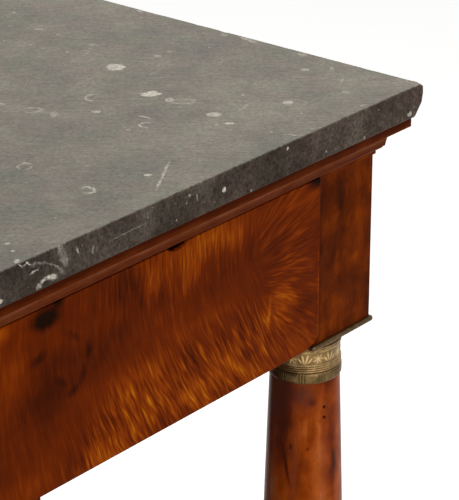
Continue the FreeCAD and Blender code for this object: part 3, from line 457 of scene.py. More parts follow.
def frenchPolish(material, point, tone, look, pores, poreDepth):
    # Colour, pores and sheen of polished wood from a tone value of 0 to 1.
    tree = material.node_tree
    colour = addNode(tree, "ValToRGB", {0: tone}, look["ramp"])
    dark = addNode(tree, "MapRange", {0: pores, 1: 0.60, 2: 0.72, 3: 1.0, 4: 1 - poreDepth})
    colour = addNode(tree, "VectorMath SCALE", {0: colour, "Scale": dark})
    if "sheenAndBloom" in look:
        # cloudy old polish, and where the look asks for it a painted reflection and painted highlight in the
        # same colour
        sheenAndCloud = softSpots(tree, point, look["sheenAndBloom"])
        colour = addNode(tree, "Mix", {0: sheenAndCloud, 6: colour, 7: look["sheenAndBloomTone"]}, data_type="RGBA")
    gloss = look["gloss"]
    hazy = grainNoise(tree, point, (45, 45, 45), 2.0, 0.5, 3)
    rough = addNode(tree, "MapRange", {0: hazy, 1: 0.3, 2: 0.7, 3: gloss["rough"] - 0.05,
                                       4: gloss["rough"] + 0.07})
    bump = addNode(tree, "Bump", {"Height": dark, "Strength": 0.2, "Distance": 0.2 * mm})
    return surfaced(material, {"Base Color": colour, "Roughness": rough, "Normal": bump,
                               "Specular IOR Level": gloss["specular"], "Specular Tint": gloss["tint"]})


crotchLook = {
    "heart": (365, 775),  # x and z of the point from which the feather spreads
    "seam": {1: 385, 2: 410},  # where straight figure gives way to feather
    "wander": {"figure": (34, 3.2), "spots": (9, 3.0)},  # cell and reach
    "leanStart": 790,  # height below which the straight figure starts to lean
    "leanSoft": 30,  # how gently that starts
    "lean": {1: 120, 2: 350, 3: 0.12, 4: 0.62},  # more and more from 120 to 350 mm off the middle
    "featherWidth": 75,  # radius at which the feather's strands are as wide as the straight ones
    "figure": [((14, 9, 70), 0, 0.2), ((4.4, 5, 34), 7, 0.55), ((2.0, 2, 20), 13, 0.75)],  # cell, seed, share
    "pores": (0.8, 2, 6),
    "ramp": [(0.0, "#160600"), (0.2, "#401200"), (0.38, "#602000"), (0.55, "#803402"), (0.74, "#a05404"),
             (0.95, "#c8821c")],
    "gloss": {"rough": 0.30, "specular": 0.015, "tint": "#ff8030"},
    # where fibres come straight to the surface they glow more than their neighbours darken
    "crest": {"from": 0.04, "gain": 0.6},
    "drift": {1: 0.3, 2: 0.7, 3: -0.1, 4: 0.1},  # wide, weak lighter and darker parts
    "tone": 0.36,  # plain wood
    "calm": 0.22,  # strength of the figure where it isn't lively
    # where the figure is lively: x, z, half sizes, turn, strength
    "lively": [
        (350, 706, 190, 66, 0, 2.2), (235, 696, 90, 56, -30, 1.8), (310, 812, 170, 60, 0, 0.9),
        (440, 775, 90, 95, 0, 0.8),
    ],
    # where the wood is lighter or darker: the knot and the dots round it, streaks, the glow of the feather,
    # and painted shade in the upper corner at x 474, beside the block and under the cornice
    "spots": [
        (455, 778, 24, 15, 0, 0.14), (309, 699, 36, 18, 0, 0.26), (430, 732, 30, 34, 0, 0.26),
        (380, 729, 32, 32, 0, -0.24), (414, 732, 4.5, 24, 8, 0.4), (450, 700, 50, 30, 0, 0.22),
        (350, 706, 150, 40, 8, 0.34), (240, 692, 90, 44, -20, 0.28), (335, 818, 130, 28, 0, 0.34),
        (316, 793, 46, 34, 0, 0.24), (254, 811, 30, 26, 0, -0.3), (228, 770, 36, 30, -30, -0.2),
        (474, 827, 19, 14, 0, -1.0), (424, 782, 36, 24, 0, -0.2), (167, 817, 24, 14, 0, -1.1),
        (181, 826, 11, 9, 0, -0.6), (195, 794, 16, 6, 40, -0.24), (210, 777, 6, 14, 0, -0.36),
        (204, 761, 6, 13, 25, -0.26), (194, 752, 10, 6, -20, -0.36), (181, 763, 13, 5, 30, -0.22),
        (160, 789, 15, 6, -20, -0.3), (124, 822, 16, 14, 0, 0.45), (134, 792, 32, 30, 0, 0.24),
        (190, 780, 52, 70, 0, -0.26), (165, 744, 64, 54, 0, -0.26), (386, 706, 24, 14, 0, -0.3),
        (372, 806, 24, 18, 0, 0.26), (280, 800, 20, 18, 0, 0.22), (478, 730, 3.6, 75, 0, 0.45),
    ],
    "chipCoreAndShade": ((310, -202.3, 825), (20, 6.0, 9), -9.0),  # dark core wood and painted shade in the hollow of the chip at the upper edge
}


def throughBoard(spots):
    # Patches on the drawer's face made to reach right through it.
    return [((x, 0, z), (wide, 900, high), strength, (0, turn, 0))
            for x, z, wide, high, turn, strength in spots]


def leaningFigure(tree, across, height, look):
    # Straight figure that leans more and more towards the foot of the board.
    depth = addNode(tree, "Math SUBTRACT", {0: look["leanStart"], 1: height})
    depth = addNode(tree, "Math MAXIMUM", {0: depth, 1: 0.0})
    squared = addNode(tree, "Math MULTIPLY_ADD", {0: depth, 1: depth, 2: look["leanSoft"] ** 2})
    rooted = addNode(tree, "Math SQRT", {0: squared})
    leaning = addNode(tree, "Math SUBTRACT", {0: rooted, 1: look["leanSoft"]})
    lean = addNode(tree, "MapRange", {0: across, **look["lean"]})
    shift = addNode(tree, "Math MULTIPLY", {0: leaning, 1: lean})
    return addNode(tree, "Math SUBTRACT", {0: across, 1: shift})


def spreadFigure(tree, across, height, look):
    # Feather that spreads from its heart.
    outX = addNode(tree, "Math SUBTRACT", {0: across, 1: look["heart"][0]})
    outZ = addNode(tree, "Math SUBTRACT", {0: height, 1: look["heart"][1]})
    turn = addNode(tree, "Math ARCTAN2", {0: outZ, 1: outX})
    swept = addNode(tree, "Math MULTIPLY", {0: turn, 1: look["featherWidth"]})
    reach = addNode(tree, "CombineXYZ", {0: outX, 1: outZ})
    reach = addNode(tree, "VectorMath LENGTH", {0: reach})
    return addNode(tree, "CombineXYZ", {0: swept, 2: reach})


def crotchMahogany(look):
    # Crotch mahogany veneer, sawn through a fork and French polished: a glowing feather on dark red.
    material, tree = newMaterial("frenchPolishedCrotchMahogany")
    point = objectPoint(tree)
    spot = mirroredPoint(tree, wavering(tree, point, *look["wander"]["figure"]))
    axes = addNode(tree, "SeparateXYZ", {0: spot}).outputs
    across, height = axes[0], axes[2]
    straight = leaningFigure(tree, across, height, look)
    along = addNode(tree, "CombineXYZ", {0: straight, 2: height})
    spread = spreadFigure(tree, across, height, look)
    share = addNode(tree, "MapRange", {0: straight, **look["seam"]}, interpolation_type="SMOOTHSTEP")
    lively = softSpots(tree, spot, throughBoard(look["lively"]), look["calm"])
    lively = addNode(tree, "Math MINIMUM", {0: lively, 1: 1.0})
    figure = 0.0
    for cell, seed, weight in look["figure"]:
        made = [grainNoise(tree, field, cell, 1.5, 0.5, seed) for field in (along, spread)]
        mixed = addNode(tree, "Mix", {0: share, 2: made[0], 3: made[1]}, data_type="FLOAT")
        figure = withSwing(tree, figure, mixed, weight)
    crest = addNode(tree, "Math SUBTRACT", {0: figure, 1: look["crest"]["from"]})
    crest = addNode(tree, "Math MAXIMUM", {0: crest, 1: 0.0})
    figure = addNode(tree, "Math MULTIPLY_ADD", {0: crest, 1: look["crest"]["gain"], 2: figure})
    figure = addNode(tree, "Math MULTIPLY", {0: figure, 1: lively})
    spots = throughBoard(look["spots"]) + [look["chipCoreAndShade"]]
    blurred = mirroredPoint(tree, wavering(tree, point, *look["wander"]["spots"]))
    tone = softSpots(tree, blurred, spots, look["tone"])
    drift = grainNoise(tree, point, (70, 70, 45), 2.0, 0.5, 19)
    drifting = addNode(tree, "MapRange", {0: drift, **look["drift"]})
    for part in (figure, drifting):
        tone = addNode(tree, "Math ADD", {0: tone, 1: part})
    pores = grainNoise(tree, along, look["pores"], 2.0, 0.6, 29)
    return frenchPolish(material, point, tone, look, pores, 0.25)


dullSheen = {"rough": 0.36, "specular": 0.012, "tint": "#ff8030"}
corniceLook = {
    "wave": 2,
    "figure": (0.5, 0.3, 0.4),
    "ramp": [(0.2, "#3c1302"), (0.45, "#531f05"), (0.65, "#602c10"), (1.0, "#804c33")],
    # painted highlight along the crest of the moulding, and painted shade on the fillet under the stone's
    # edge
    "spots": [((0, 0, 838), (3000, 3000, 9), 0.85), ((0, 0, 850), (3000, 3000, 10), -0.45)],
    "gloss": dullSheen,
}
carcaseLook = {
    "wave": 5,
    "figure": (0.6, 0.3, 0.35),
    "ramp": [(0.0, "#240a02"), (0.3, "#4a1803"), (0.5, "#6d2907"), (0.75, "#91400d")],
    "spots": [],
}
straightLooks = {
    # grain is the length of the ribbons along x, y and z, wave how far they wander, and figure the share of
    # ribbons, fine lines and clouds
    "cornice": {"grain": (60, 3, 3), **corniceLook},
    "corniceEnd": {"grain": (3, 60, 3), **corniceLook},
    "block": {
        "grain": (9, 9, 46),
        "wave": 7,
        "figure": (0.42, 0.2, 0.85),
        "ramp": [(0.0, "#1e0800"), (0.3, "#3e1300"), (0.5, "#551e00"), (0.72, "#702c01"), (1.0, "#a04e06")],
        "spots": [
            # the first is a painted shadow that the drawer front casts on the block's left edge; the rest are
            # streaks and darker and lighter wood
            ((481, -203, 750), (8, 60, 160), -0.42), ((512, -203, 788), (8, 60, 32), -0.4, (0, -6, 0)),
            ((512, -203, 704), (27, 60, 22), 0.34), ((500, -203, 690), (20, 60, 14), 0.2),
            ((538, -203, 768), (26, 60, 80), 0.10), ((548, -203, 700), (12, 60, 30), -0.15),
        ],
        "gloss": dullSheen,
    },
    "upright": {
        "grain": (8, 8, 170),
        "wave": 6,
        "figure": (0.5, 0.3, 0.3),
        "ramp": [(0.0, "#200900"), (0.3, "#421500"), (0.5, "#5e2301"), (0.72, "#7c3602"), (1.0, "#a85a08")],
        "spots": [],
        "gloss": dullSheen,
    },
    "turned": {
        "grain": (13, 13, 110),
        "wave": 8,
        "figure": (0.45, 0.25, 0.55),
        "ramp": [(0.0, "#421a0d"), (0.14, "#4a1c0c"), (0.3, "#60230a"), (0.5, "#86380a"), (0.72, "#a4511e"),
                 (1.0, "#b87c5c")],
        "spots": [
            # the first is painted shade down the column's left side, the second painted light on its left rim
            # lower down, and the one at x 501.5 a painted highlight down the front; the others are dark
            # marks, streaks, and darker and lighter parts of the wood
            ((484, -167, 640), (14, 20, 135), -1.0), ((487, -156, 530), (14, 22, 76), 0.5),
            ((490, -184, 624), (24, 20, 24), -0.3), ((497, -188.5, 615), (9, 7, 7), -0.4),
            ((486.2, -175.2, 573.9), (3, 3, 4), -0.5), ((493.2, -187.3, 573), (4, 4, 3.4), -0.32),
            ((515.5, -197.4, 557), (4, 6, 14), -0.5), ((485, -171, 557), (4, 2.6, 34), -0.6, (-13.6, 0, 0)),
            ((501.5, -192.6, 575), (8, 7, 100), 0.32), ((492, -185, 585), (6, 6, 24), 0.2),
            ((491.5, -186, 545), (6, 6, 14), 0.14), ((515, -198, 560), (12, 10, 3000), -0.3),
            ((532, -194, 560), (14, 12, 3000), -0.16), ((508, -198, 640), (16, 14, 34), -0.4),
            ((505, -196, 516), (36, 16, 50), 0.42),
        ],
        # where the old polish has gone cloudy, with a painted reflection down the left rim and a painted
        # highlight down the front
        "sheenAndBloom": [
            ((488, -154, 600), (12, 15, 3000), 0.85), ((484, -162, 625), (14, 20, 110), 0.5),
            ((490, -184, 622), (24, 22, 28), 0.6), ((485.5, -178, 560), (8, 6, 80), 0.4),
            ((505, -196, 560), (10, 10, 120), 0.3),
        ],
        "sheenAndBloomTone": "#643a30",
        "gloss": {"rough": 0.30, "specular": 0.035, "tint": "#ffb080"},
    },
    "plinth": {"grain": (170, 7, 7), **carcaseLook,
               "gloss": {"rough": 0.32, "specular": 0.06, "tint": "#ffb070"}},
    "deepways": {"grain": (7, 170, 7), **carcaseLook,
                 "gloss": {"rough": 0.32, "specular": 0.04, "tint": "#ffb070"}},
}


def straightMahogany(name, look):
    # Straight-grained mahogany, French polished: ribbons of light and dark along the board, fine dark pores.
    material, tree = newMaterial("frenchPolishedMahogany_" + name)
    point = objectPoint(tree)
    spot = mirroredPoint(tree, wavering(tree, point, 40, look["wave"]))
    cells = (look["grain"], [g * 0.3 for g in look["grain"]], (22, 22, 22))
    tone = softSpots(tree, mirroredPoint(tree, wavering(tree, point, 10, 1.5)), look["spots"], 0.5)
    for cell, weight, seed in zip(cells, look["figure"], (0, 9, 21)):
        made = grainNoise(tree, spot, cell, 3.0, 0.55, seed)
        tone = withSwing(tree, tone, made, weight)
    pores = grainNoise(tree, spot, [max(0.7, g * 0.12) for g in look["grain"]], 2.0, 0.6, 29)
    return frenchPolish(material, point, tone, look, pores, 0.3)


oakLook = {
    "grain": {"across": (90, 5, 5), "deepways": (5, 90, 5)},
    "ramp": [(0.3, "#6b4a2a"), (0.5, "#8f6a41"), (0.7, "#a9845a")],
    "rough": {3: 0.65, 4: 0.8},
    "specular": 0.25,
}


def planedOak(name, look):
    # Quarter-sawn oak, planed and never polished: pale brown, dusty, with open pores.
    material, tree = newMaterial("planedOak_" + name)
    grain = look["grain"][name]
    spot = wavering(tree, objectPoint(tree), 50, 3)
    colour = addNode(tree, "ValToRGB", {0: grainNoise(tree, spot, grain, 4.0, 0.6)}, look["ramp"])
    pores = grainNoise(tree, spot, [max(0.6, g * 0.1) for g in grain], 2.0, 0.6, 7)
    dark = addNode(tree, "MapRange", {0: pores, 1: 0.55, 2: 0.7, 3: 1.0, 4: 0.6})
    colour = addNode(tree, "VectorMath SCALE", {0: colour, "Scale": dark})
    rough = addNode(tree, "MapRange", {0: pores, **look["rough"]})
    bump = addNode(tree, "Bump", {"Height": dark, "Strength": 0.3, "Distance": 0.3 * mm})
    return surfaced(material, {"Base Color": colour, "Roughness": rough, "Normal": bump,
                               "Specular IOR Level": look["specular"]})


metalLooks = {
    # rough is from the dirt to the rubbed parts, share how much of the surface is dirt
    "chasedBrass": {"tones": ("#493a20", "#7c6340", "#d2b47e"), "rough": {3: 0.52, 4: 0.34}, "share": 0.42},
    "patinatedBrass": {"tones": ("#3c2a16", "#665036", "#8a7652"), "rough": {3: 0.55, 4: 0.4}, "share": 0.3},
}


def oldBrass(name, look):
    # Cast and chased brass with old patina: dirt stays in the hollows, and the high parts are rubbed bright.
    material, tree = newMaterial(name)
    point = objectPoint(tree)
    relief = addNode(tree, "Attribute", attribute_name="relief").outputs["Fac"]
    stain = grainNoise(tree, point, (7, 7, 7), 4.0, 0.65)
    fine = grainNoise(tree, point, (0.9, 0.9, 0.9), 2.0, 0.6, 13)
    level = -look["share"]
    for part, weight in ((relief, 0.75), (stain, 0.7), (fine, 0.3)):
        level = addNode(tree, "Math MULTIPLY_ADD", {0: part, 1: weight, 2: level})
    colour = addNode(tree, "ValToRGB", {0: level}, list(zip((0.0, 0.35, 0.85), look["tones"])))
    rough = addNode(tree, "MapRange", {0: level, 2: 0.8, **look["rough"]})
    bump = addNode(tree, "Bump", {"Height": fine, "Strength": 0.25, "Distance": 0.2 * mm})
    return surfaced(material, {"Base Color": colour, "Roughness": rough, "Normal": bump, "Metallic": 1.0})


ironLook = {"tones": [(0.3, "#2c2622"), (0.7, "#544b44")], "rough": {3: 0.5, 4: 0.75}}


def forgedIron(look):
    # Hand-forged iron nails: near black, dull, hammered.
    material, tree = newMaterial("forgedIron")
    scale = grainNoise(tree, objectPoint(tree), (1.2, 1.2, 1.2), 3.0, 0.6)
    colour = addNode(tree, "ValToRGB", {0: scale}, look["tones"])
    rough = addNode(tree, "MapRange", {0: scale, **look["rough"]})
    return surfaced(material, {"Base Color": colour, "Roughness": rough, "Metallic": 1.0})


stone = fossilLimestone(stoneLook)
crotch = crotchMahogany(crotchLook)
straight = {name: straightMahogany(name, look) for name, look in straightLooks.items()}
oak = {name: planedOak(name, oakLook) for name in oakLook["grain"]}
brass = {name: oldBrass(name, look) for name, look in metalLooks.items()}
iron = forgedIron(ironLook)
print("materials ready")


def finished(name, bm, material, standsFor, body="root", sharp=30):
    # Makes a piece of a bmesh, smooth except at sharp edges, that stands for a CAD node.
    piece = meshObject(name, bm)
    mesh = piece.data
    for face in mesh.polygons:
        face.use_smooth = abs(face.normal.z) < 0.999
    mesh.set_sharp_from_angle(angle=math.radians(sharp))
    mesh.materials.append(material)
    weighted = piece.modifiers.new("WeightedNormal", "WEIGHTED_NORMAL")
    weighted.keep_sharp = True
    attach(piece, body)
    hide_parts(standsFor)


def mergedCopy(node):
    bm = bmesh.new()
    bm.from_mesh(nodes[node].data)
    bmesh.ops.remove_doubles(bm, verts=bm.verts, dist=0.005 * mm)
    bmesh.ops.dissolve_limit(bm, angle_limit=math.radians(0.5), verts=bm.verts, edges=bm.edges)
    return bm


def blockOf(node):
    # A plain block that fills a CAD node's box, and the box.
    low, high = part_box(node)
    bm = bmesh.new()
    bmesh.ops.create_cube(bm, size=1)
    bmesh.ops.scale(bm, vec=high - low, verts=bm.verts)
    bmesh.ops.translate(bm, vec=(low + high) / 2, verts=bm.verts)
    return bm, low, high


def roundOff(bm, edges, width, parts):
    bmesh.ops.bevel(bm, geom=edges, offset=width * mm, offset_type="OFFSET", segments=parts, profile=0.5,
                    affect="EDGES", clamp_overlap=True, material=-1)


def ease(bm, width, sharperThan=25, parts=2):
    # Rounds every edge sharper than the angle.
    sharp = [e for e in bm.edges if e.is_manifold and e.calc_face_angle(0) > math.radians(sharperThan)]
    roundOff(bm, sharp, width, parts)


def sliceOff(bm, place, away):
    # Cuts off what lies past a plane, and closes the cut.
    cut = bmesh.ops.bisect_plane(bm, geom=bm.verts[:] + bm.edges[:] + bm.faces[:], dist=0.001 * mm,
                                 plane_co=place, plane_no=away, clear_outer=True)
    rim = [e for e in cut["geom_cut"] if isinstance(e, bmesh.types.BMEdge)]
    bmesh.ops.holes_fill(bm, edges=rim, sides=0)


def cutOut(bm, cutters):
    # The bmesh with closed shapes taken away from it. All of them are used up.
    blank = meshObject("blank", bm)
    for cutter in cutters:
        cutter = meshObject("cutter", cutter)
        cut = blank.modifiers.new("Cut", "BOOLEAN")
        cut.operation = "DIFFERENCE"
        cut.solver = "EXACT"
        cut.object = cutter
        shaped = blank.evaluated_get(bpy.context.evaluated_depsgraph_get())
        mesh = bpy.data.meshes.new_from_object(shaped)
        blank.modifiers.clear()
        blank.data = mesh
        bpy.data.objects.remove(cutter)
    bm = bmesh.new()
    bm.from_mesh(blank.data)
    bpy.data.objects.remove(blank)
    return bm


slabShape = {
    "arris": {"width": 1.6, "parts": 3},  # worn upper edge
    "under": {"width": 2.5, "parts": 4},  # rounded lower edge, not at the back
    "cell": (3.2, 6.0),  # along the front and from front to back
    # chips and ripples within reach of the upper edge. The ends and the back have less of them, and the right
    # front corner is spared
    "chips": {"cell": 11, "rare": 0.34, "deep": 4.4, "reach": 5, "elsewhere": 0.3, "spared": 16},
    "ripples": {"cell": 4.5, "deep": 0.3},
    "flare": {"reach": 14, "out": 1.2},  # the corner stands out a little, as hand-cut corners do
    "knocked": {"reach": 7, "deep": 1.3},  # upper end of the corner
    "wornCorner": [(878, 5), (868, 12.5)],  # rubbed away downwards: from a height, reach at the foot
}


def sawnCells(bm, low, high, cell):
    # Cuts the slab into cells, so that its edges can be worn.
    for axis, facing in enumerate((Vector((1, 0, 0)), Vector((0, 1, 0)))):
        count = round((high[axis] - low[axis]) / (cell[axis] * mm))
        for step in range(1, count):
            spot = facing * (low[axis] + (high[axis] - low[axis]) * step / count)
            bmesh.ops.bisect_plane(bm, geom=bm.verts[:] + bm.edges[:] + bm.faces[:], dist=0.01 * mm,
                                   plane_co=spot, plane_no=facing)


def wearEdges(bm, low, high, size):
    chips, ripples, flare, knocked = [size[name] for name in ("chips", "ripples", "flare", "knocked")]
    corner = Vector((high.x, low.y, high.z))
    for vert in bm.verts:
        spot = vert.co.copy()
        fromEnd, fromFront, fromBack = high.x - abs(spot.x), spot.y - low.y, high.y - spot.y
        atEnd, atFront, atBack = [gap < chips["reach"] * mm for gap in (fromEnd, fromFront, fromBack)]
        fromEdge = max(high.z - spot.z, min(fromEnd, fromFront, fromBack))
        chip = max(0, noise.noise(spot / (chips["cell"] * mm)) - chips["rare"]) * chips["deep"]
        ripple = max(0, noise.noise(spot / (ripples["cell"] * mm))) * ripples["deep"]
        cut = (chip + ripple) * (1 if atFront else chips["elsewhere"])
        cut *= min(1, math.dist(spot, corner) / (chips["spared"] * mm))
        cut *= 1 - min(1, fromEdge / (chips["reach"] * mm))
        inward = Vector((-math.copysign(atEnd, spot.x), 1 if atFront else -atBack, -1)).normalized()
        vert.co += inward * cut * mm
        flared = 1 - math.dist(spot.xy, corner.xy) / (flare["reach"] * mm)
        vert.co += Vector((1, -1, 0)) * max(0, flared) * flare["out"] * mm
        knock = max(0, 1 - math.dist(spot, corner) / (knocked["reach"] * mm))
        vert.co += Vector((-1, 1, -1)) * knock * knock * knocked["deep"] * mm


def edgesAt(bm, axis, level):
    return [e for e in bm.edges if all(abs(v.co[axis] - level) < 0.1 * mm for v in e.verts)]


def stoneTop(size):
    bm, low, high = blockOf("marble_top")
    roundOff(bm, edgesAt(bm, 2, high.z), **size["arris"])
    rim = [e for e in edgesAt(bm, 2, low.z) if e not in edgesAt(bm, 1, high.y)]
    roundOff(bm, rim, **size["under"])
    sawnCells(bm, low, high, size["cell"])
    wearEdges(bm, low, high, size)
    # the corner is rubbed away more and more towards its lower end
    out = size["flare"]["out"] * mm
    for fromHeight, reach in size["wornCorner"]:
        start = Vector((high.x + out, low.y - out, fromHeight * mm))
        drop = low.z - start.z
        away = Vector((-reach * mm, 0, drop)).cross(Vector((0, reach * mm, drop))).normalized()
        sliceOff(bm, start, away)
    finished("stone_slab", bm, stone, "marble_top", sharp=50)


stoneTop(slabShape)
print("stone slab ready")


drawerFrontShape = {
    "edge": 0.7,
    # old loss at the upper edge
    "chip": {"place": (306.5, -208.8, 826.2), "half": (11.5, 6.5, 4.8), "cell": 4},
    # worn lower corner, from one x and z to the other
    "corner": {"end": (478.2, 688.3), "foot": (465.6, 681.4), "turns": (-12, 0, 12)},
}


def chipCutter(chip):
    bm = bmesh.new()
    bmesh.ops.create_icosphere(bm, subdivisions=3, radius=1)
    bmesh.ops.scale(bm, vec=[h * mm for h in chip["half"]], verts=bm.verts)
    bmesh.ops.translate(bm, vec=[p * mm for p in chip["place"]], verts=bm.verts)
    for vert in bm.verts:
        vert.co += Vector((1, 0, 1)) * noise.noise(vert.co / (chip["cell"] * mm)) * mm
    return bm


def drawerFront(size):
    bm = mergedCopy("drawer_front")
    ease(bm, size["edge"])
    bm = cutOut(bm, [chipCutter(size["chip"])])
    end, foot = [Vector((x, 0, z)) for x, z in (size["corner"]["end"], size["corner"]["foot"])]
    along = foot - end
    for turn in size["corner"]["turns"]:
        out = Matrix.Rotation(math.radians(turn), 3, "Y") @ Vector((-along.z, 0, along.x)).normalized()
        sliceOff(bm, (end + foot) / 2 * mm, out)
    finished("veneered_drawer_front", bm, crotch, "drawer_front", "drawer")


drawerFront(drawerFrontShape)


def pair(name):
    return [name + "_left", name + "_right"]


woodwork = [  # material, slot, eased edge, nodes
    ("cornice", "plain_mahogany", 0.9, ["cornice_front"]),
    ("corniceEnd", "plain_mahogany", 0.9, pair("cornice")),
    ("block", "plain_mahogany", 0.7, pair("corner_block_front") + pair("corner_block_rear")),
    ("deepways", "flame_mahogany", 0.5, pair("frieze_side")),
    ("upright", "plain_mahogany", 1.0, pair("pilaster")),
    ("plinth", "plain_mahogany", 1.2, ["plinth_board", "plinth_front"]),
    ("deepways", "plain_mahogany", 1.0, pair("plinth_side")),
]
for material, slot, edge, names in woodwork:
    for node in names:
        bm = mergedCopy(node)
        ease(bm, edge)
        finished("polished_" + node, bm, straight[material], node)
print("woodwork ready")


columnShape = {
    "parts": 96,
    "tenonRadius": 13,
    "baseSpigot": {"foot": 92, "radius": 35.8},  # inside the brass base
    "shaft": {"foot": 125.8, "top": 632.1, "footRadius": 42, "neckRadius": 29.2, "entasis": 1.38,
              "rings": 24},
    "neckSpigot": {"top": 674.0, "radius": 25},  # inside the collar
    "pinholes": [(609.2, 1.5), (599.9, 1.4)],  # height and radius of two old pin holes
    "pin": {"long": 12, "out": 29},  # out is how far its middle stands from the column's
    "pinholeTurn": {"right": -108.9, "left": -71.1},
}


def spun(outline, centre, parts):
    # Turns an outline of (radius, height) in mm about an upright axis.
    bm = bmesh.new()
    line = [bm.verts.new((centre[0] + r * mm, centre[1], z * mm)) for r, z in outline]
    edges = [bm.edges.new(ends) for ends in zip(line, line[1:])]
    bmesh.ops.spin(bm, geom=line + edges, cent=(*centre, 0), axis=(0, 0, 1), angle=math.tau, steps=parts,
                   use_merge=True, use_duplicate=False)
    bmesh.ops.remove_doubles(bm, verts=bm.verts, dist=0.001 * mm)
    bmesh.ops.recalc_face_normals(bm, faces=bm.faces)
    return bm


def middleOf(low, high):
    return (low.x + high.x) / 2, (low.y + high.y) / 2


def pinCutter(place, out, radius, long):
    bm = bmesh.new()
    bmesh.ops.create_cone(bm, cap_ends=True, segments=12, radius1=radius * mm, radius2=radius * mm,
                          depth=long * mm)
    bmesh.ops.rotate(bm, cent=(0, 0, 0), matrix=out.to_track_quat("Z", "Y").to_matrix(), verts=bm.verts)
    bmesh.ops.translate(bm, vec=place, verts=bm.verts)
    return bm


def column(side, size):
    node = "column_" + side
    low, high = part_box(node)
    centre = middleOf(low, high)
    tenon, base, shaft, neck = size["tenonRadius"], size["baseSpigot"], size["shaft"], size["neckSpigot"]
    outline = [(0, low.z / mm), (tenon, low.z / mm), (tenon, base["foot"]), (base["radius"], base["foot"]),
               (base["radius"], shaft["foot"])]
    for step in range(shaft["rings"] + 1):
        share = step / shaft["rings"]
        radius = shaft["footRadius"] - (shaft["footRadius"] - shaft["neckRadius"]) * share ** shaft["entasis"]
        outline.append((radius, shaft["foot"] + (shaft["top"] - shaft["foot"]) * share))
    outline += [(neck["radius"], shaft["top"]), (neck["radius"], neck["top"]), (tenon, neck["top"]),
                (tenon, high.z / mm), (0, high.z / mm)]
    turn = math.radians(size["pinholeTurn"][side])
    out = Vector((math.cos(turn), math.sin(turn), 0))
    pin = size["pin"]
    pins = [pinCutter(Vector((*centre, height * mm)) + out * pin["out"] * mm, out, radius, pin["long"])
            for height, radius in size["pinholes"]]
    bm = cutOut(spun(outline, centre, size["parts"]), pins)
    finished("turned_" + node, bm, straight["turned"], node)


for side in ("left", "right"):
    column(side, columnShape)


flowerShape = {
    "petals": {"count": 7, "reach": 5.8, "dip": 0.38},
    "eye": {"reach": 1.5, "fall": 0.4},
    "leafMiddle": 11.6,  # from the middle of a flower to the middle of the leaves beside it
    # off that middle, up, half width, reach, lean
    "leaves": [(1.7, 0.2, 1.3, 5.2, 14), (4.4, -1.2, 1.0, 3.8, 38)],
    "leafLevel": 0.9,
    "stems": {"height": 5.9, "half": 0.55, "level": 0.55},  # a line above and one below the flowers
}


def chasing(u, v, size):
    # Height of the chased flowers, 0 to 1, u along the band from a flower and v up from its middle, in mm.
    petals, eye, stems, far = size["petals"], size["eye"], size["stems"], math.hypot(u, v)
    level = 0.0
    if far < petals["reach"]:
        petal = 1 - petals["dip"] * (1 - math.cos(petals["count"] * math.atan2(v, u)))
        level = (1 - (far / petals["reach"]) ** 2) * petal
    if far < eye["reach"]:
        level = max(level, 1 - eye["fall"] * (far / eye["reach"]) ** 2)
    for off, up, half, reach, lean in size["leaves"]:
        for side in (-1, 1):
            angle = math.radians(-side * lean)
            du, dv = abs(u) - size["leafMiddle"] + side * off, v - up
            a = (du * math.cos(angle) - dv * math.sin(angle)) / half
            b = (du * math.sin(angle) + dv * math.cos(angle)) / reach
            level = max(level, size["leafLevel"] * (1 - a * a - b * b))
    off = (abs(v) - stems["height"]) / stems["half"]
    return max(level, stems["level"] * (1 - off * off))


collarShape = {
    "foot": 632.1,
    "parts": 480,
    "bore": 25.2,
    "radius": 29.5,
    "groove": 0.8,  # above the milled ring
    "mill": {"top": 8.9, "proud": 1.1, "edge": 1.4, "rows": 5, "groups": 11, "pitch": 2.3, "flute": 0.55,
             "deep": 0.3, "grime": 7},
    "band": {"foot": 15.4, "top": 28.8, "row": 0.42, "hollow": 0.5, "repeats": 8, "deep": 0.5},
    "reeds": [(9.7, 3, 1.9, 0.7), (28.8, 2, 1.6, 0.6)],  # foot, count, height, swell
    "neck": {"foot": 32.0, "top": 41.9, "radius": 28.7},
    "turn": {"right": -120, "left": -60},  # where the first flower stands, in degrees
    "slack": 0.1,  # how near its ends the band is left alone
    "dents": {"cell": 6, "deep": 0.12},
    "rubbed": {"cell": 9, "least": 0.75, "more": 0.5},  # how far the flowers are worn down
    # how bright the brass is: the least, and how much more on what stands highest
    "bright": {"plain": (0.15, 0.3), "flowers": (0.22, 0.6), "mill": (0.08, 0.12), "flute": -0.1},
}


def collarOutline(size):
    # From the foot of the bore up the outside and back: milled ring, groove, reeds, hollow band, reeds, neck.
    mill, band, neck, radius, bore = size["mill"], size["band"], size["neck"], size["radius"], size["bore"]
    outline = [(bore, 0), (radius, 0)]
    outline += [(radius + mill["proud"], mill["edge"] + (mill["top"] - 2 * mill["edge"]) * i / mill["rows"])
                for i in range(mill["rows"] + 1)]
    outline += [(radius, mill["top"]), (radius - size["groove"], mill["top"]),
                (radius - size["groove"], size["reeds"][0][0])]
    for start, count, height, swell in size["reeds"]:
        outline += [(radius + swell * math.sin(math.pi * i / 5), start + (index + i / 5) * height)
                    for index in range(count) for i in range(6)]
        if start < band["foot"]:
            steps = round((band["top"] - band["foot"]) / band["row"])
            outline += [(radius - band["hollow"] * 4 * i / steps * (1 - i / steps),
                         band["foot"] + (band["top"] - band["foot"]) * i / steps) for i in range(1, steps)]
    outline += [(neck["radius"], neck["foot"]), (neck["radius"], neck["top"]), (bore, neck["top"]), (bore, 0)]
    return [spot for last, spot in zip([(0, 0)] + outline, outline) if math.dist(last, spot) > 0.01]


def around(angle, start, count):
    # The angle from the middle of the nearest of so many repeats.
    period = math.tau / count
    return (angle - start + period / 2) % period - period / 2


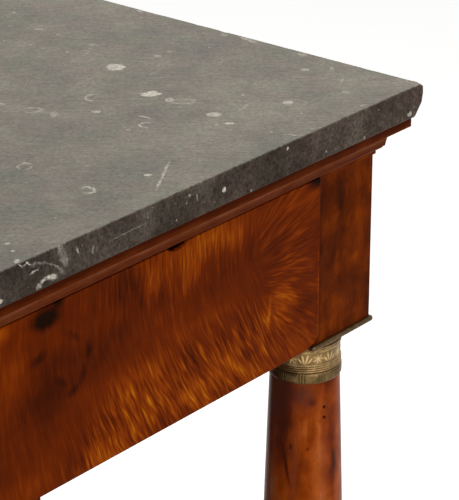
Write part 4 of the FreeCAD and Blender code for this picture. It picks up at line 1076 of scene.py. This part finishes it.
def chase(bm, centre, start, size):
    # Raises the flowers and cuts the flutes. The relief attribute says how far dirt has been rubbed off.
    mill, band, radius, bright, rubbed, slack = [
        size[name] for name in ("mill", "band", "radius", "bright", "rubbed", "slack")]
    relief = bm.verts.layers.float.new("relief")
    for vert in bm.verts:
        out = Vector((vert.co.x - centre[0], vert.co.y - centre[1], 0))
        r, z = out.length / mm, vert.co.z / mm - size["foot"]
        if r < (size["bore"] + radius) / 2:
            continue
        angle = math.atan2(out.y, out.x)
        rise = 0.0
        least, more = bright["plain"]
        shade = least + more * min(1, max(0, (r - radius + size["groove"]) / (2 * size["groove"])))
        if band["foot"] + slack < z < band["top"] - slack:
            up = z - (band["foot"] + band["top"]) / 2
            raised = chasing(around(angle, start, band["repeats"]) * radius, up, flowerShape)
            left = rubbed["least"] + rubbed["more"] * noise.noise(vert.co / (rubbed["cell"] * mm))
            rise = band["deep"] * raised * min(1, left)
            shade = bright["flowers"][0] + bright["flowers"][1] * raised
        elif mill["edge"] - slack < z < mill["top"] - mill["edge"] + slack:
            along = around(angle, math.pi, mill["groups"]) * radius
            shade = bright["mill"][0] + bright["mill"][1] * noise.noise(vert.co / (mill["grime"] * mm))
            for flute in (-1, 0, 1):
                off = abs(along - flute * mill["pitch"]) / mill["flute"]
                if off < 1:
                    rise = -mill["deep"] * math.sqrt(1 - off * off)
                    shade = bright["flute"]
        dent = noise.noise(vert.co / (size["dents"]["cell"] * mm)) * size["dents"]["deep"]
        vert.co += out.normalized() * (rise + dent) * mm
        vert[relief] = shade


def collar(side, size):
    node = "column_capital_" + side
    low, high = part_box(node)
    centre = middleOf(low, high)
    bm = spun([(r, z + size["foot"]) for r, z in collarOutline(size)], centre, size["parts"])
    chase(bm, centre, math.radians(size["turn"][side]), size)
    finished("chased_" + node, bm, brass["chasedBrass"], node, sharp=40)


for side in ("left", "right"):
    collar(side, collarShape)


plateShape = {"corner": {"width": 3, "parts": 6}, "rim": {"width": 1.7, "parts": 4}}


def plate(node, size):
    # Thin brass plate with a half-round edge, between a block and the mount below it.
    bm, low, high = blockOf(node)
    posts = [e for e in bm.edges if abs(e.verts[0].co.z - e.verts[1].co.z) > mm]
    roundOff(bm, posts, **size["corner"])
    roundOff(bm, edgesAt(bm, 2, low.z) + edgesAt(bm, 2, high.z), **size["rim"])
    finished("brass_" + node, bm, brass["patinatedBrass"], node, sharp=50)


for node in pair("abacus_front") + pair("abacus_rear"):
    plate(node, plateShape)
print("brass mounts ready")

# the rest of the frame keeps its own shape and gets its finish
kept = {
    brass["chasedBrass"]: [*pair("column_base"), *pair("pilaster_capital"), *pair("pilaster_base")],
    straight["upright"]: ["back_panel"],
    oak["across"]: ["frieze_back_rail", "top_front_rail", "bottom_front_rail", "drawer_back", "plinth_back",
                    "plinth_glue_blocks"],
    oak["deepways"]: [*pair("drawer_runner"), *pair("drawer_guide"), *pair("drawer_kicker"),
                      *pair("top_cross_rail"), *pair("drawer_side"), "drawer_bottom"],
    iron: ["drawer_bottom_nails"],
}
for material, names in kept.items():
    for name in names:
        mesh = nodes[name].data
        mesh.materials.clear()
        mesh.materials.append(material)
print("carcase finished")
